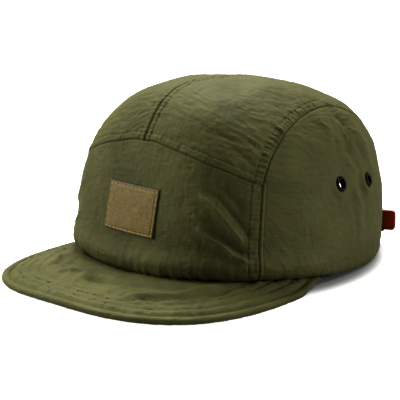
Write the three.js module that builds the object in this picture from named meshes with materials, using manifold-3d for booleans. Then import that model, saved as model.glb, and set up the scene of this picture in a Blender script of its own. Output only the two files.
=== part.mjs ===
// A five-panel sports cap: a soft nylon crown of five panels, a short flat peak with a bound edge,
// a bare cloth patch, four eyelets, and a leather strap across an open arch at the back.
// Millimetres, +Z up. The cap faces -Y, the wearer's left is +X, and it stands on Z = 0.
import * as THREE from 'three';
import { mergeVertices } from 'three/addons/utils/BufferGeometryUtils.js';
import Module from 'manifold-3d';

const wasm = await Module();
wasm.setup();
const { clamp, degToRad, lerp, smoothstep } = THREE.MathUtils;

// Crown: its plan is measured at the rim, about the plan centre of the head opening
const HALF_LENGTH = 97.9;
const HALF_WIDTH = 88;
const CROWN_HEIGHT = 115.6;
const TOP_FORWARD = 6.6; // the flat top sits this far ahead of the plan centre
const CORNER_FULLNESS = 0.064; // how much the plan is fuller than an ellipse between its axes
const CLOTH = 1.5; // wall of a panel, two layers of cloth and their stiffening
const GAP = 0.32; // clear space between neighbouring pieces
const SEAM_SINK = 0.7; // how deep the cloth dives into a seam

// Five upright sections through the crown, from the front (0) round to the back (180)
const SECTIONS = [
  { angle: 0, squareness: 4.19, lean: 0.268, rim: 10.4 },
  { angle: 45, squareness: 2.87, lean: 0.089, rim: 11.2 },
  { angle: 90, squareness: 3.0, lean: 0.022, rim: 3.5 },
  { angle: 135, squareness: 2.56, lean: -0.125, rim: 0.8 },
  { angle: 180, squareness: 2.68, lean: 0.034, rim: -2.6 },
];

// The lower edge of the crown bulges over the peak and is tucked in under itself
const FRONT_EDGE = { tuck: 1.9, tuckHeight: 4, bulge: 2.3 };
const BACK_EDGE = { tuck: 0.9, tuckHeight: 3.5, bulge: 0.2 };
const BULGE_LEVEL = 8; // height of the fullest part above the rim
const EDGE_CHANGES = { from: 66, to: 88 }; // degrees round from the front

// Seams, in degrees round from the front and in reach: 0 is the top of the crown, 1 is its rim
const FRONT_TOP_SEAM = [
  { turn: 0, reach: 0.592 },
  { turn: 16, reach: 0.6 },
  { turn: 27.3, reach: 0.614 },
  { turn: 35.8, reach: 0.632 },
  { turn: 42.8, reach: 0.65 },
  { turn: 48.5, reach: 0.67 },
  { turn: 54.5, reach: 0.69 },
];
const FRONT_SIDE_SEAM = [
  { turn: 51, reach: 1 },
  { turn: 51.5, reach: 0.894 },
  { turn: 52.6, reach: 0.8 },
  { turn: 54.5, reach: 0.69 },
];
const SHOULDER_SEAM_FRONT = [
  { turn: 54.5, reach: 0.69 },
  { turn: 59.3, reach: 0.608 },
  { turn: 69.5, reach: 0.524 },
  { turn: 86.5, reach: 0.464 },
  { turn: 101.3, reach: 0.44 },
  { turn: 109.7, reach: 0.428 },
];
const SHOULDER_SEAM_BACK = [
  { turn: 109.7, reach: 0.428 },
  { turn: 131, reach: 0.56 },
  { turn: 143, reach: 0.77 },
  { turn: 150, reach: 1 },
];

// Folds in the cloth: a ridge or a dent (negative height) along a line in x, y, z
const FOLDS = [
  { from: [45, -84, 57], to: [66, -72, 31], width: 3.4, height: 1.6 },
  { from: [42, -87, 42], to: [66, -73, 21], width: 3.4, height: 1.7 },
  { from: [49, -78, 69], to: [61, -72, 53], width: 4, height: -1.3 },
  { from: [50, -82, 46], to: [65, -74, 26], width: 3.4, height: -1.1 },
  { from: [64, 17, 99], to: [80, 14, 76], width: 4, height: -1.4 },
  { from: [80, 14, 76], to: [88, 26, 28], width: 5, height: -1.2 },
  { from: [70, 2, 93], to: [84, -4, 68], width: 5, height: 0.8 },
  { from: [70, 28, 92], to: [84, 34, 66], width: 6, height: 1 },
  { from: [-64, 17, 99], to: [-80, 14, 76], width: 4, height: -1.4 },
  { from: [-80, 14, 76], to: [-88, 26, 28], width: 5, height: -1 },
  { from: [-70, 28, 92], to: [-84, 34, 66], width: 6, height: 0.8 },
  { from: [20, -30, 112], to: [50, 5, 108], width: 9, height: 0.9 },
  { from: [38, 10, 112], to: [51, 22, 107], width: 13, height: -1.8 },
  { from: [57, 43, 96], to: [69, 55, 77], width: 12, height: 1.4 },
  { from: [-57, 43, 96], to: [-69, 55, 77], width: 12, height: 1.2 },
];

// Peak: the outer edge is a squarish half ring ahead of this line
const PEAK = {
  halfWidth: 91, reach: 104.1, centreY: -49.8, squareness: 2.61,
  edgeHeightFront: 8.8, edgeHeightSide: 3.7, edgeDip: 0.74,
  thickness: 2.6, camber: 2.6, tongue: 5, endTurn: 76, endSweep: 103,
  tipRise: 2.1, tipPull: 3, tipStart: 90,
};
const BINDING = { width: 4.6, height: 3.9, tipHeight: 1, corner: 1.2, step: 0.3 };
const PEAK_FOLDS = [
  { from: [-52, -118], to: [-8, -106], width: 5, height: 1 },
  { from: [-66, -108], to: [-30, -100], width: 6, height: -1 },
  { from: [-20, -122], to: [28, -112], width: 6, height: -1 },
  { from: [26, -126], to: [62, -96], width: 5, height: 0.8 },
];

// Patch on the front panel
const PATCH = { width: 39, topReach: 0.72, bottomReach: 0.872, thickness: 0.9 };

// Eyelets, two on each side panel
const EYELETS = [
  { name: 'front', turn: 91.3, reach: 0.708 },
  { name: 'rear', turn: 108.8, reach: 0.714 },
];
const EYELET = { hole: 2.5, barrel: 3.1, flange: 4.7, height: 1.1 };

// Arch at the back, and the strap that crosses it
const ARCH = { halfWidth: 31, shoulder: 16, top: 46 };
const STRAP = { width: 13.5, thickness: 1.8, clearSewn: 0.4, clearFree: 1.6, height: 9.2 };
const STRAP_WRAP = { from: -137, to: 147.5, stations: 11 }; // degrees, through the back
const FREE_END = { length: 31, slope: 0.19, ramp: 44, corner: 3.5 };
const SLEEVE = { ahead: 8, length: 12, wall: 0.8, clear: 0.35 };

// Colours of the real thing
const CLOTH_COLOUR = 0x53542f;
const PATCH_COLOUR = 0x94803e;
const METAL_COLOUR = 0x1c1c1a;
const LEATHER_COLOUR = 0x8c2a12;

const UP = new THREE.Vector3(0, 0, 1);
const RIM_ROW = 0.9995;

// Steps from 0 to 1 along a panel's edges, narrow beside seams and at the tucked rim.
// Panels that meet at a seam share its steps, so that their edges follow each other.
const STEPS_UP = [0, 0.035, 0.08, ...spread(0.15, 0.96, 11), 1];
const STEPS_ROUND = [0, ...spread(0.03, 0.97, 15), 1];
const STEPS_FROM_MIDDLE = [0, ...spread(0.045, 0.96, 9), 1];
const STEPS_FRONT = [0, ...spread(0.015, 0.985, 32), 1];

function spread(first, last, count) {
  return Array.from({ length: count }, (_, index) => lerp(first, last, index / (count - 1)));
}

// A value from one column of the section table, blended smoothly round the crown
function section(column, turn) {
  const last = SECTIONS.length - 1;
  let value = 0;
  for (let wave = 0; wave <= last; wave += 1) {
    let share = 0;
    SECTIONS.forEach((row, index) => {
      const end = index === 0 || index === last ? 0.5 : 1;
      share += end * row[column] * Math.cos(wave * degToRad(row.angle));
    });
    const outer = wave === 0 || wave === last ? 0.5 : 1;
    value += outer * share * Math.cos(wave * turn) * (2 / last);
  }
  return value;
}

// Height of the crown's rim: the back of it is flattened where the cap rests
function rimHeight(turn) {
  return Math.max(0, section('rim', turn));
}

// How far the cloth stands in (or out, when negative) at a height above the rim
function tuck(turn, aboveRim) {
  const degrees = Math.abs(THREE.MathUtils.radToDeg(turn));
  const back = smoothstep(degrees, EDGE_CHANGES.from, EDGE_CHANGES.to);
  const part = (name) => lerp(FRONT_EDGE[name], BACK_EDGE[name], back);
  const under = clamp(1 - aboveRim / part('tuckHeight'), 0, 1);
  const fullness = Math.exp(-((aboveRim / BULGE_LEVEL - 1) ** 2) * 2);
  return part('tuck') * under * under - part('bulge') * fullness;
}

// A place on the crown is kept as a point of a flat disk: its angle is the turn round from the
// front, and its distance from the middle is the reach
function diskPoint(turnDegrees, reach) {
  const turn = degToRad(turnDegrees);
  return new THREE.Vector2(reach * Math.sin(turn), -reach * Math.cos(turn));
}

// The smooth crown, before folds and seams
function crownPoint(place) {
  const turn = Math.atan2(place.x, -place.y);
  const reach = clamp(place.length(), 1e-6, 1);
  const fall = reach * Math.PI / 2;
  const power = section('squareness', turn);
  const round = (Math.sin(fall) ** power + Math.max(Math.cos(fall), 0) ** power) ** (1 / power);
  const out = Math.sin(fall) / round;
  const high = Math.max(Math.cos(fall), 0) / round;
  const rim = rimHeight(turn);
  const above = (CROWN_HEIGHT - rim) * high;
  const full = 1 + CORNER_FULLNESS * Math.sin(2 * turn) ** 2;
  const inset = tuck(turn, above) / HALF_WIDTH;
  const size = full * out * (1 - section('lean', turn) * high) - inset;
  return new THREE.Vector3(
    HALF_WIDTH * Math.sin(turn) * size,
    -HALF_LENGTH * Math.cos(turn) * size - TOP_FORWARD * high,
    rim + above,
  );
}

function crownNormal(place) {
  const step = 0.004;
  const inside = place.clone().multiplyScalar(Math.min(1, (1 - 1.5 * step) / place.length()));
  const across = new THREE.Vector2(step, 0);
  const along = new THREE.Vector2(0, step);
  const dAcross = crownPoint(inside.clone().add(across)).sub(crownPoint(inside.clone().sub(across)));
  const dAlong = crownPoint(inside.clone().add(along)).sub(crownPoint(inside.clone().sub(along)));
  return dAcross.cross(dAlong).normalize();
}

// Height of a ridge or dent at a point: full along its line, fading on both sides and at its ends
function foldHeight(fold, point) {
  const from = new THREE.Vector3(...fold.from);
  const to = new THREE.Vector3(...fold.to);
  const nearest = new THREE.Line3(from, to).closestPointToPoint(point, true, new THREE.Vector3());
  return fold.height * Math.exp(-((nearest.distanceTo(point) / fold.width) ** 2));
}

// A point of the crown's skin, sunk below it by a depth
function skin(place, depth = 0) {
  const point = crownPoint(place);
  const normal = crownNormal(place);
  const relief = FOLDS.reduce((sum, fold) => sum + foldHeight(fold, point), 0);
  return point.addScaledVector(normal, relief - depth);
}

// The inner side of the wall: level with the skin at the rim, so that the bottom edge is flat
function lining(place, outer) {
  const normal = crownNormal(place);
  if (place.length() < RIM_ROW) return outer.clone().addScaledVector(normal, -CLOTH);
  const level = normal.clone().setZ(0).normalize();
  return outer.clone().addScaledVector(level, -CLOTH);
}

// A smooth seam through the rows of a table, as a function of 0 to 1
function seam(rows, mirror = 1) {
  const points = rows.map((row) => {
    const place = diskPoint(mirror * row.turn, row.reach);
    return new THREE.Vector3(place.x, place.y, 0);
  });
  const curve = new THREE.CatmullRomCurve3(points, false, 'centripetal');
  return (share) => {
    const point = curve.getPointAt(share);
    return new THREE.Vector2(point.x, point.y);
  };
}

function rimArc(fromTurn, toTurn) {
  return (share) => diskPoint(lerp(fromTurn, toTurn, share), 1);
}

// The disk point inside four edge curves (a Coons patch)
function insideEdges(edges, u, v) {
  const corners = [edges.bottom(0), edges.bottom(1), edges.top(0), edges.top(1)];
  const place = edges.bottom(u).multiplyScalar(1 - v);
  place.addScaledVector(edges.top(u), v);
  place.addScaledVector(edges.left(v), 1 - u);
  place.addScaledVector(edges.right(v), u);
  place.addScaledVector(corners[0], -(1 - u) * (1 - v));
  place.addScaledVector(corners[1], -u * (1 - v));
  place.addScaledVector(corners[2], -(1 - u) * v);
  place.addScaledVector(corners[3], -u * v);
  return place.length() > 1 ? place.normalize() : place;
}

// Moves the sewn borders of a grid of points inwards, square to the border, to leave half a gap
function drawBack(grid, onRim) {
  const columns = grid.length - 1;
  const rows = grid[0].length - 1;
  const at = (i, j) => grid[clamp(i, 0, columns)][clamp(j, 0, rows)];
  const moves = [];
  const note = (i, j, inner, before, after) => {
    const along = after.clone().sub(before).normalize();
    const inward = inner.clone().sub(at(i, j));
    inward.addScaledVector(along, -inward.dot(along)).setLength(GAP / 2);
    if (j === (onRim === 'top' ? rows : 0) && onRim) inward.setZ(0);
    moves.push([at(i, j), inward]);
  };
  for (let j = 0; j <= rows; j += 1) {
    note(0, j, at(1, j), at(0, j - 1), at(0, j + 1));
    note(columns, j, at(columns - 1, j), at(columns, j - 1), at(columns, j + 1));
  }
  for (let i = 0; i <= columns; i += 1) {
    if (onRim !== 'bottom') note(i, 0, at(i, 1), at(i - 1, 0), at(i + 1, 0));
    if (onRim !== 'top') note(i, rows, at(i, rows - 1), at(i - 1, rows), at(i + 1, rows));
  }
  moves.forEach(([point, move]) => point.add(move));
}

// One closed body between an outer and an inner grid of points
function shell(outer, inner) {
  const positions = [];
  const columns = outer.length - 1;
  const rows = outer[0].length - 1;
  const face = (...points) => points.forEach((point) => positions.push(point.x, point.y, point.z));
  const quad = (a, b, c, d) => {
    face(a, b, c);
    face(a, c, d);
  };
  for (let i = 0; i < columns; i += 1) {
    for (let j = 0; j < rows; j += 1) {
      quad(outer[i][j], outer[i + 1][j], outer[i + 1][j + 1], outer[i][j + 1]);
      quad(inner[i][j], inner[i][j + 1], inner[i + 1][j + 1], inner[i + 1][j]);
    }
  }
  for (let i = 0; i < columns; i += 1) {
    quad(outer[i][0], inner[i][0], inner[i + 1][0], outer[i + 1][0]);
    quad(outer[i][rows], outer[i + 1][rows], inner[i + 1][rows], inner[i][rows]);
  }
  for (let j = 0; j < rows; j += 1) {
    quad(outer[0][j], outer[0][j + 1], inner[0][j + 1], inner[0][j]);
    quad(outer[columns][j], inner[columns][j], inner[columns][j + 1], outer[columns][j + 1]);
  }
  const geometry = new THREE.BufferGeometry();
  geometry.setAttribute('position', new THREE.Float32BufferAttribute(positions, 3));
  return facingOut(merged(geometry));
}

function merged(geometry) {
  geometry.deleteAttribute('normal');
  geometry.deleteAttribute('uv');
  return mergeVertices(geometry, 1e-4);
}

// Turns every face over when the body's volume comes out negative
function facingOut(geometry) {
  const position = geometry.getAttribute('position');
  const index = geometry.getIndex();
  const corner = (n) => new THREE.Vector3().fromBufferAttribute(position, index.getX(n));
  let volume = 0;
  for (let n = 0; n < index.count; n += 3) {
    volume += corner(n).dot(corner(n + 1).cross(corner(n + 2)));
  }
  if (volume < 0) index.array.reverse();
  return geometry;
}

// Cuts tools out of a body
function cut(geometry, tools) {
  const solid = (body) => new wasm.Manifold(new wasm.Mesh({
    numProp: 3,
    vertProperties: new Float32Array(body.getAttribute('position').array),
    triVerts: new Uint32Array(body.getIndex().array),
  }));
  const result = tools.reduce((body, tool) => body.subtract(solid(tool)), solid(geometry));
  const mesh = result.getMesh();
  const out = new THREE.BufferGeometry();
  out.setAttribute('position', new THREE.BufferAttribute(mesh.vertProperties, 3));
  out.setIndex(new THREE.BufferAttribute(mesh.triVerts, 1));
  return out;
}

// One crown panel, from its four edges on the disk
function panel(edges, uSteps, vSteps, onRim) {
  const places = uSteps.map((u) => vSteps.map((v) => insideEdges(edges, u, v)));
  const outer = places.map((column, i) => column.map((place, j) => {
    const sunk = i === 0 || i === uSteps.length - 1 || (j === 0 && onRim !== 'bottom')
      || (j === vSteps.length - 1 && onRim !== 'top');
    return skin(place, sunk ? SEAM_SINK : 0);
  }));
  const inner = outer.map((column, i) => column.map((point, j) => lining(places[i][j], point)));
  drawBack(outer, onRim);
  drawBack(inner, onRim);
  return { outer, inner };
}

function frontPanel() {
  const left = seam(FRONT_SIDE_SEAM, -1);
  const right = seam(FRONT_SIDE_SEAM, 1);
  const half = seam(FRONT_TOP_SEAM, 1);
  const otherHalf = seam(FRONT_TOP_SEAM, -1);
  const rimTurn = FRONT_SIDE_SEAM[0].turn;
  const edges = {
    bottom: rimArc(-rimTurn, rimTurn),
    top: (share) => (share < 0.5 ? otherHalf(1 - 2 * share) : half(2 * share - 1)),
    left,
    right,
  };
  const walls = panel(edges, STEPS_FRONT, STEPS_UP, 'bottom');
  return shell(walls.outer, walls.inner);
}

function sidePanel(mirror) {
  const rimFrom = FRONT_SIDE_SEAM[0].turn;
  const rimTo = SHOULDER_SEAM_BACK[SHOULDER_SEAM_BACK.length - 1].turn;
  const back = seam(SHOULDER_SEAM_BACK, mirror);
  const edges = {
    bottom: rimArc(mirror * rimFrom, mirror * rimTo),
    top: seam(SHOULDER_SEAM_FRONT, mirror),
    left: seam(FRONT_SIDE_SEAM, mirror),
    right: (share) => back(1 - share),
  };
  const walls = panel(edges, STEPS_ROUND, STEPS_UP, 'bottom');
  const holes = EYELETS.map((eyelet) => {
    const hole = new THREE.CylinderGeometry(EYELET.barrel + GAP, EYELET.barrel + GAP, 16, 16);
    onCrown(hole, diskPoint(mirror * eyelet.turn, eyelet.reach));
    return merged(hole);
  });
  return cut(shell(walls.outer, walls.inner), holes);
}

function topPanel(mirror) {
  const front = seam(SHOULDER_SEAM_FRONT, mirror);
  const back = seam(SHOULDER_SEAM_BACK, mirror);
  const rimFrom = SHOULDER_SEAM_BACK[SHOULDER_SEAM_BACK.length - 1].turn;
  const frontReach = FRONT_TOP_SEAM[0].reach;
  const edges = {
    bottom: seam(FRONT_TOP_SEAM, mirror),
    top: rimArc(mirror * 180, mirror * rimFrom),
    left: (share) => new THREE.Vector2(0, lerp(-frontReach, 1, share)),
    right: (share) => (share < 0.5 ? front(2 * share) : back(2 * share - 1)),
  };
  const along = [
    ...STEPS_ROUND.map((share) => share / 2),
    ...STEPS_UP.map((share) => 1 - share / 2).reverse().slice(1),
  ];
  const walls = panel(edges, STEPS_FROM_MIDDLE, along, 'top');
  return cut(shell(walls.outer, walls.inner), [archCutter()]);
}

function archCutter() {
  const rise = ARCH.top - ARCH.shoulder;
  const shape = new THREE.Shape();
  shape.moveTo(-ARCH.halfWidth, -5);
  shape.lineTo(ARCH.halfWidth, -5);
  shape.lineTo(ARCH.halfWidth, ARCH.shoulder);
  shape.absellipse(0, ARCH.shoulder, ARCH.halfWidth, rise, 0, Math.PI);
  const geometry = new THREE.ExtrudeGeometry(shape, {
    depth: 2 * HALF_LENGTH, bevelEnabled: false, curveSegments: 18,
  });
  geometry.rotateX(Math.PI / 2);
  geometry.translate(0, 2.5 * HALF_LENGTH, 0);
  return merged(geometry);
}

// Moves a shape made about +Y so that it stands on the crown's skin
function onCrown(geometry, place) {
  const turn = new THREE.Quaternion().setFromUnitVectors(new THREE.Vector3(0, 1, 0), crownNormal(place));
  geometry.applyQuaternion(turn);
  const point = skin(place);
  geometry.translate(point.x, point.y, point.z);
}

function eyelet(place) {
  const { hole, barrel, flange, height } = EYELET;
  const profile = [
    [hole, -CLOTH], [barrel, -CLOTH], [barrel, GAP], [flange, GAP], [flange - 0.1, GAP + 0.4],
    [(flange + hole) / 2, height + GAP], [hole, height - GAP], [hole, -CLOTH],
  ].map(([radius, level]) => new THREE.Vector2(radius, level));
  const geometry = new THREE.LatheGeometry(profile, 14);
  onCrown(geometry, place);
  return facingOut(merged(geometry));
}

// The disk point at a given x (millimetres) and reach, on the front of the crown
function frontPlace(x, reach) {
  let turn = x / HALF_WIDTH;
  for (let round = 0; round < 6; round += 1) {
    const found = crownPoint(diskPoint(THREE.MathUtils.radToDeg(turn), reach)).x;
    turn += (x - found) / HALF_WIDTH;
  }
  return diskPoint(THREE.MathUtils.radToDeg(turn), reach);
}

function patch() {
  const grid = (depth) => spread(0, 1, 9).map((u) => spread(0, 1, 7).map((v) => {
    const x = lerp(-PATCH.width / 2, PATCH.width / 2, u);
    return skin(frontPlace(x, lerp(PATCH.bottomReach, PATCH.topReach, v)), -depth);
  }));
  return shell(grid(GAP + PATCH.thickness), grid(GAP));
}

// Outer edge of the peak in plan and at its top, for a sweep angle from the front
function peakEdge(sweep) {
  const angle = degToRad(sweep);
  const [s, c] = [Math.sin(angle), Math.cos(angle)];
  const power = PEAK.squareness;
  const round = (Math.abs(s) ** power + Math.abs(c) ** power) ** (1 / power);
  const tip = smoothstep(Math.abs(sweep), PEAK.tipStart, PEAK.endSweep);
  const front = PEAK.edgeHeightFront * c * c;
  const side = PEAK.edgeHeightSide * s * s;
  const dip = PEAK.edgeDip * Math.sin(2 * angle) ** 2;
  return new THREE.Vector3(
    (PEAK.halfWidth - PEAK.tipPull * tip) * s / round,
    PEAK.centreY - PEAK.reach * c / round,
    front + side - dip + PEAK.tipRise * tip,
  );
}

// Horizontal direction from the edge towards the inside of the peak
function peakInward(sweep) {
  const along = peakEdge(sweep + 0.5).sub(peakEdge(sweep - 0.5)).setZ(0).normalize();
  return new THREE.Vector3().crossVectors(UP, along);
}

function bindingHeight(sweep) {
  const tip = smoothstep(Math.abs(sweep), PEAK.tipStart, PEAK.endSweep);
  return lerp(BINDING.height, BINDING.tipHeight, tip);
}

// A point of the peak: share 0 is under the crown's rim, 1 is beside the binding
function peakPoint(across, share, depth) {
  const turn = across * PEAK.endTurn;
  const sweep = across * PEAK.endSweep;
  const rim = crownPoint(diskPoint(turn, 1));
  const level = crownNormal(diskPoint(turn, 1)).setZ(0).normalize();
  const root = rim.clone().addScaledVector(level, -PEAK.tongue);
  root.z -= 3 * GAP;
  const edge = peakEdge(sweep).addScaledVector(peakInward(sweep), BINDING.width + GAP);
  edge.z -= BINDING.step;
  const point = root.clone().lerp(edge, share);
  const reach = root.distanceTo(edge) / (PEAK.reach + PEAK.centreY);
  point.z += PEAK.camber * Math.min(1, reach * reach) * 4 * share * (1 - share);
  const flat = new THREE.Vector3(point.x, point.y, 0);
  const middle = smoothstep(share, 0.15, 0.4) * (1 - smoothstep(share, 0.75, 0.95));
  PEAK_FOLDS.forEach((fold) => {
    const line = { ...fold, from: [...fold.from, 0], to: [...fold.to, 0] };
    point.z += middle * foldHeight(line, flat);
  });
  const thin = lerp(1, 0.45, smoothstep(Math.abs(sweep), PEAK.tipStart, PEAK.endSweep));
  point.z -= depth * PEAK.thickness * thin;
  return point;
}

function peak() {
  const columns = 34;
  const rows = 8;
  const grid = (depth) => Array.from({ length: columns + 1 }, (_, i) => (
    Array.from({ length: rows + 1 }, (__, j) => peakPoint(lerp(-1, 1, i / columns), j / rows, depth))
  ));
  return shell(grid(0), grid(1));
}

// The rolled edge of the peak: a rounded section carried along the outer edge
function peakBinding() {
  const stations = 48;
  const { width, corner } = BINDING;
  const sections = Array.from({ length: stations + 1 }, (_, i) => {
    const sweep = lerp(-PEAK.endSweep, PEAK.endSweep, i / stations);
    const height = bindingHeight(sweep);
    const soft = Math.min(corner, height / 2.5);
    const outline = [
      [0, soft], [soft * 0.3, soft * 0.3], [soft, 0], [width - soft, 0], [width, soft * 0.7],
      [width, height - soft * 0.7], [width - soft, height], [soft, height],
      [soft * 0.3, height - soft * 0.3], [0, height - soft],
    ];
    const edge = peakEdge(sweep);
    const inward = peakInward(sweep);
    return outline.map(([inset, drop]) => {
      const point = edge.clone().addScaledVector(inward, inset);
      point.z = Math.max(0, point.z - drop);
      return point;
    });
  });
  return loft(sections);
}

// One closed body through a list of closed outlines, with flat ends
function loft(sections) {
  const positions = [];
  const face = (...points) => points.forEach((point) => positions.push(point.x, point.y, point.z));
  const sides = sections[0].length;
  for (let i = 0; i + 1 < sections.length; i += 1) {
    for (let k = 0; k < sides; k += 1) {
      const next = (k + 1) % sides;
      face(sections[i][k], sections[i + 1][k], sections[i + 1][next]);
      face(sections[i][k], sections[i + 1][next], sections[i][next]);
    }
  }
  const last = sections[sections.length - 1];
  for (let k = 1; k + 1 < sides; k += 1) {
    face(sections[0][0], sections[0][k], sections[0][k + 1]);
    face(last[0], last[k + 1], last[k]);
  }
  const geometry = new THREE.BufferGeometry();
  geometry.setAttribute('position', new THREE.Float32BufferAttribute(positions, 3));
  return facingOut(merged(geometry));
}

// The place on the crown at a height above the floor
function placeAtHeight(turn, height) {
  let [above, below] = [0.5, 1];
  for (let round = 0; round < 20; round += 1) {
    const reach = (above + below) / 2;
    if (crownPoint(diskPoint(turn, reach)).z > height) above = reach;
    else below = reach;
  }
  return diskPoint(turn, above);
}

// Middle line of the strap: round the back of the crown, then straight off it and rising
function strapRun() {
  const whole = 360 + STRAP_WRAP.from;
  const stations = spread(0, 1, STRAP_WRAP.stations).map((share) => {
    const turn = lerp(whole, STRAP_WRAP.to, share);
    const point = crownPoint(placeAtHeight(turn, STRAP.height));
    const out = crownNormal(diskPoint(turn, 0.95)).setZ(0).normalize();
    const edges = [-0.5, 0, 0.5].map((part) => (
      crownPoint(placeAtHeight(turn, STRAP.height + part * STRAP.width))
    ));
    const proud = Math.max(...edges.map((edge) => edge.sub(point).dot(out)));
    const stand = lerp(STRAP.clearSewn, STRAP.clearFree, share) + STRAP.thickness / 2 + proud;
    return { point: point.addScaledVector(out, stand), out };
  });
  const leave = stations[stations.length - 1];
  const ahead = new THREE.Vector3().crossVectors(UP, leave.out).negate();
  ahead.z = FREE_END.slope;
  let left = 0;
  stations.slice().reverse().forEach((station, index, list) => {
    if (index > 0) left += station.point.distanceTo(list[index - 1].point);
    const rising = Math.max(0, FREE_END.ramp - left);
    station.point.z = STRAP.height + FREE_END.slope * rising * rising / (2 * FREE_END.ramp);
  });
  return { stations, leave, ahead };
}

function strap() {
  const { stations, leave, ahead } = strapRun();
  const square = 1 - FREE_END.corner / FREE_END.length;
  const free = [0.3, 0.6, square, 1].map((share) => ({
    point: leave.point.clone().addScaledVector(ahead, share * FREE_END.length),
    out: leave.out,
    corner: share > square ? FREE_END.corner : 0,
  }));
  const sections = [...stations, ...free].map(({ point, out, corner = 0 }) => {
    const half = STRAP.thickness / 2;
    const low = corner - STRAP.width / 2;
    const high = STRAP.width / 2;
    return [[-half, low], [half, low], [half, high], [-half, high]].map(([away, rise]) => (
      point.clone().addScaledVector(out, away).addScaledVector(UP, rise)
    ));
  });
  return loft(sections);
}

// A plain metal sleeve that the strap runs through, on the wearer's left of the arch
function strapSleeve() {
  const { leave, ahead } = strapRun();
  const direction = ahead.clone().normalize();
  const centre = leave.point.clone().addScaledVector(direction, SLEEVE.ahead);
  const side = new THREE.Vector3().crossVectors(direction, leave.out);
  const block = (extra, length) => {
    const thick = STRAP.thickness + 2 * (SLEEVE.clear + extra);
    const high = STRAP.width + 2 * (SLEEVE.clear + extra);
    const geometry = new THREE.BoxGeometry(length, thick, high);
    geometry.applyMatrix4(new THREE.Matrix4().makeBasis(direction, leave.out, side));
    geometry.translate(centre.x, centre.y, centre.z);
    return merged(geometry);
  };
  return cut(block(SLEEVE.wall, SLEEVE.length), [block(0, 2 * SLEEVE.length)]);
}

const finish = (color, roughness, metalness = 0) => (
  new THREE.MeshStandardMaterial({ color, roughness, metalness })
);
const nylon = finish(CLOTH_COLOUR, 0.75);
const patchCloth = finish(PATCH_COLOUR, 0.8);
const blackMetal = finish(METAL_COLOUR, 0.4, 0.9);
const leather = finish(LEATHER_COLOUR, 0.55);

const cap = new THREE.Group();
function add(name, geometry, material) {
  const mesh = new THREE.Mesh(geometry, material);
  mesh.name = name;
  cap.add(mesh);
}

add('front_panel', frontPanel(), nylon);
for (const [side, mirror] of [['left', 1], ['right', -1]]) {
  add(`top_panel_${side}`, topPanel(mirror), nylon);
  add(`side_panel_${side}`, sidePanel(mirror), nylon);
  for (const row of EYELETS) {
    add(`eyelet_${side}_${row.name}`, eyelet(diskPoint(mirror * row.turn, row.reach)), blackMetal);
  }
}
add('peak', peak(), nylon);
add('peak_binding', peakBinding(), nylon);
add('front_patch', patch(), patchCloth);
add('back_strap', strap(), leather);
add('strap_sleeve', strapSleeve(), blackMetal);

// The plan centre of the whole cap goes to the origin
const bounds = new THREE.Box3().setFromObject(cap);
const middle = bounds.getCenter(new THREE.Vector3());
cap.position.set(-middle.x, -middle.y, -bounds.min.z);

export default cap;
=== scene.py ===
# %% [markdown]
# # A five-panel cap, dressed for the camera
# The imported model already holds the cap's sizes and places, and this script leaves them alone.
# It gives each piece the form and the finish of the real thing: crinkled nylon, rows of
# stitches, a bare cloth patch, blackened eyelets and a red leather strap.

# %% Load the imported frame
import math

import bpy
import numpy as np
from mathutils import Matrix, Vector
from mathutils.bvhtree import BVHTree


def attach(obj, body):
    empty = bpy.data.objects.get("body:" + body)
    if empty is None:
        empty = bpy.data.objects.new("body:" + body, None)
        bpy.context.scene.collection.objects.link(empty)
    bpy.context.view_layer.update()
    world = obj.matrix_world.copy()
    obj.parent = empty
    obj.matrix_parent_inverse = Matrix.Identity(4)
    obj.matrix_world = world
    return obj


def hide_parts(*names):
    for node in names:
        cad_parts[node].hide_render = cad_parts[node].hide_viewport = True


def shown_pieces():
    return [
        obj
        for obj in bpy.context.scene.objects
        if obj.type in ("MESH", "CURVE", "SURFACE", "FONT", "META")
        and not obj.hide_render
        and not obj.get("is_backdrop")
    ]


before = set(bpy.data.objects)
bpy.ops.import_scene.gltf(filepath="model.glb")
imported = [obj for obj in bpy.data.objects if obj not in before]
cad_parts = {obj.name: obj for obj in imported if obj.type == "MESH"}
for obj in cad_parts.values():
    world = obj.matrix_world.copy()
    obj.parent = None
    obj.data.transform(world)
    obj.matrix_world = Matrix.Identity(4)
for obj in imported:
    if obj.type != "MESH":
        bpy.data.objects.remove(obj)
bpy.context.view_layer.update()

MM = 0.001

# %% [markdown]
# ## Camera
# The cap was photographed from its front left, a little above the table, with a longish lens.
# The angles, the distance and the lens come from fitting the crown's outline. The picture is a
# crop of a wider one, so the lens is shifted sideways rather than turned, which keeps the
# upright lines as they are.

# %% Set the camera
VIEW_TURN = math.radians(38.918)  # round from straight ahead
VIEW_LIFT = math.radians(11.607)  # above the horizon
VIEW_DISTANCE = 633.1  # millimetres
VIEW_TARGET = Vector((0, 26.667, 47.4))  # millimetres
PICTURE = 400  # pixels
LENS_PIXELS = 982.6
CENTRE_PIXEL = (231.14, 181.24)

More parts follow.
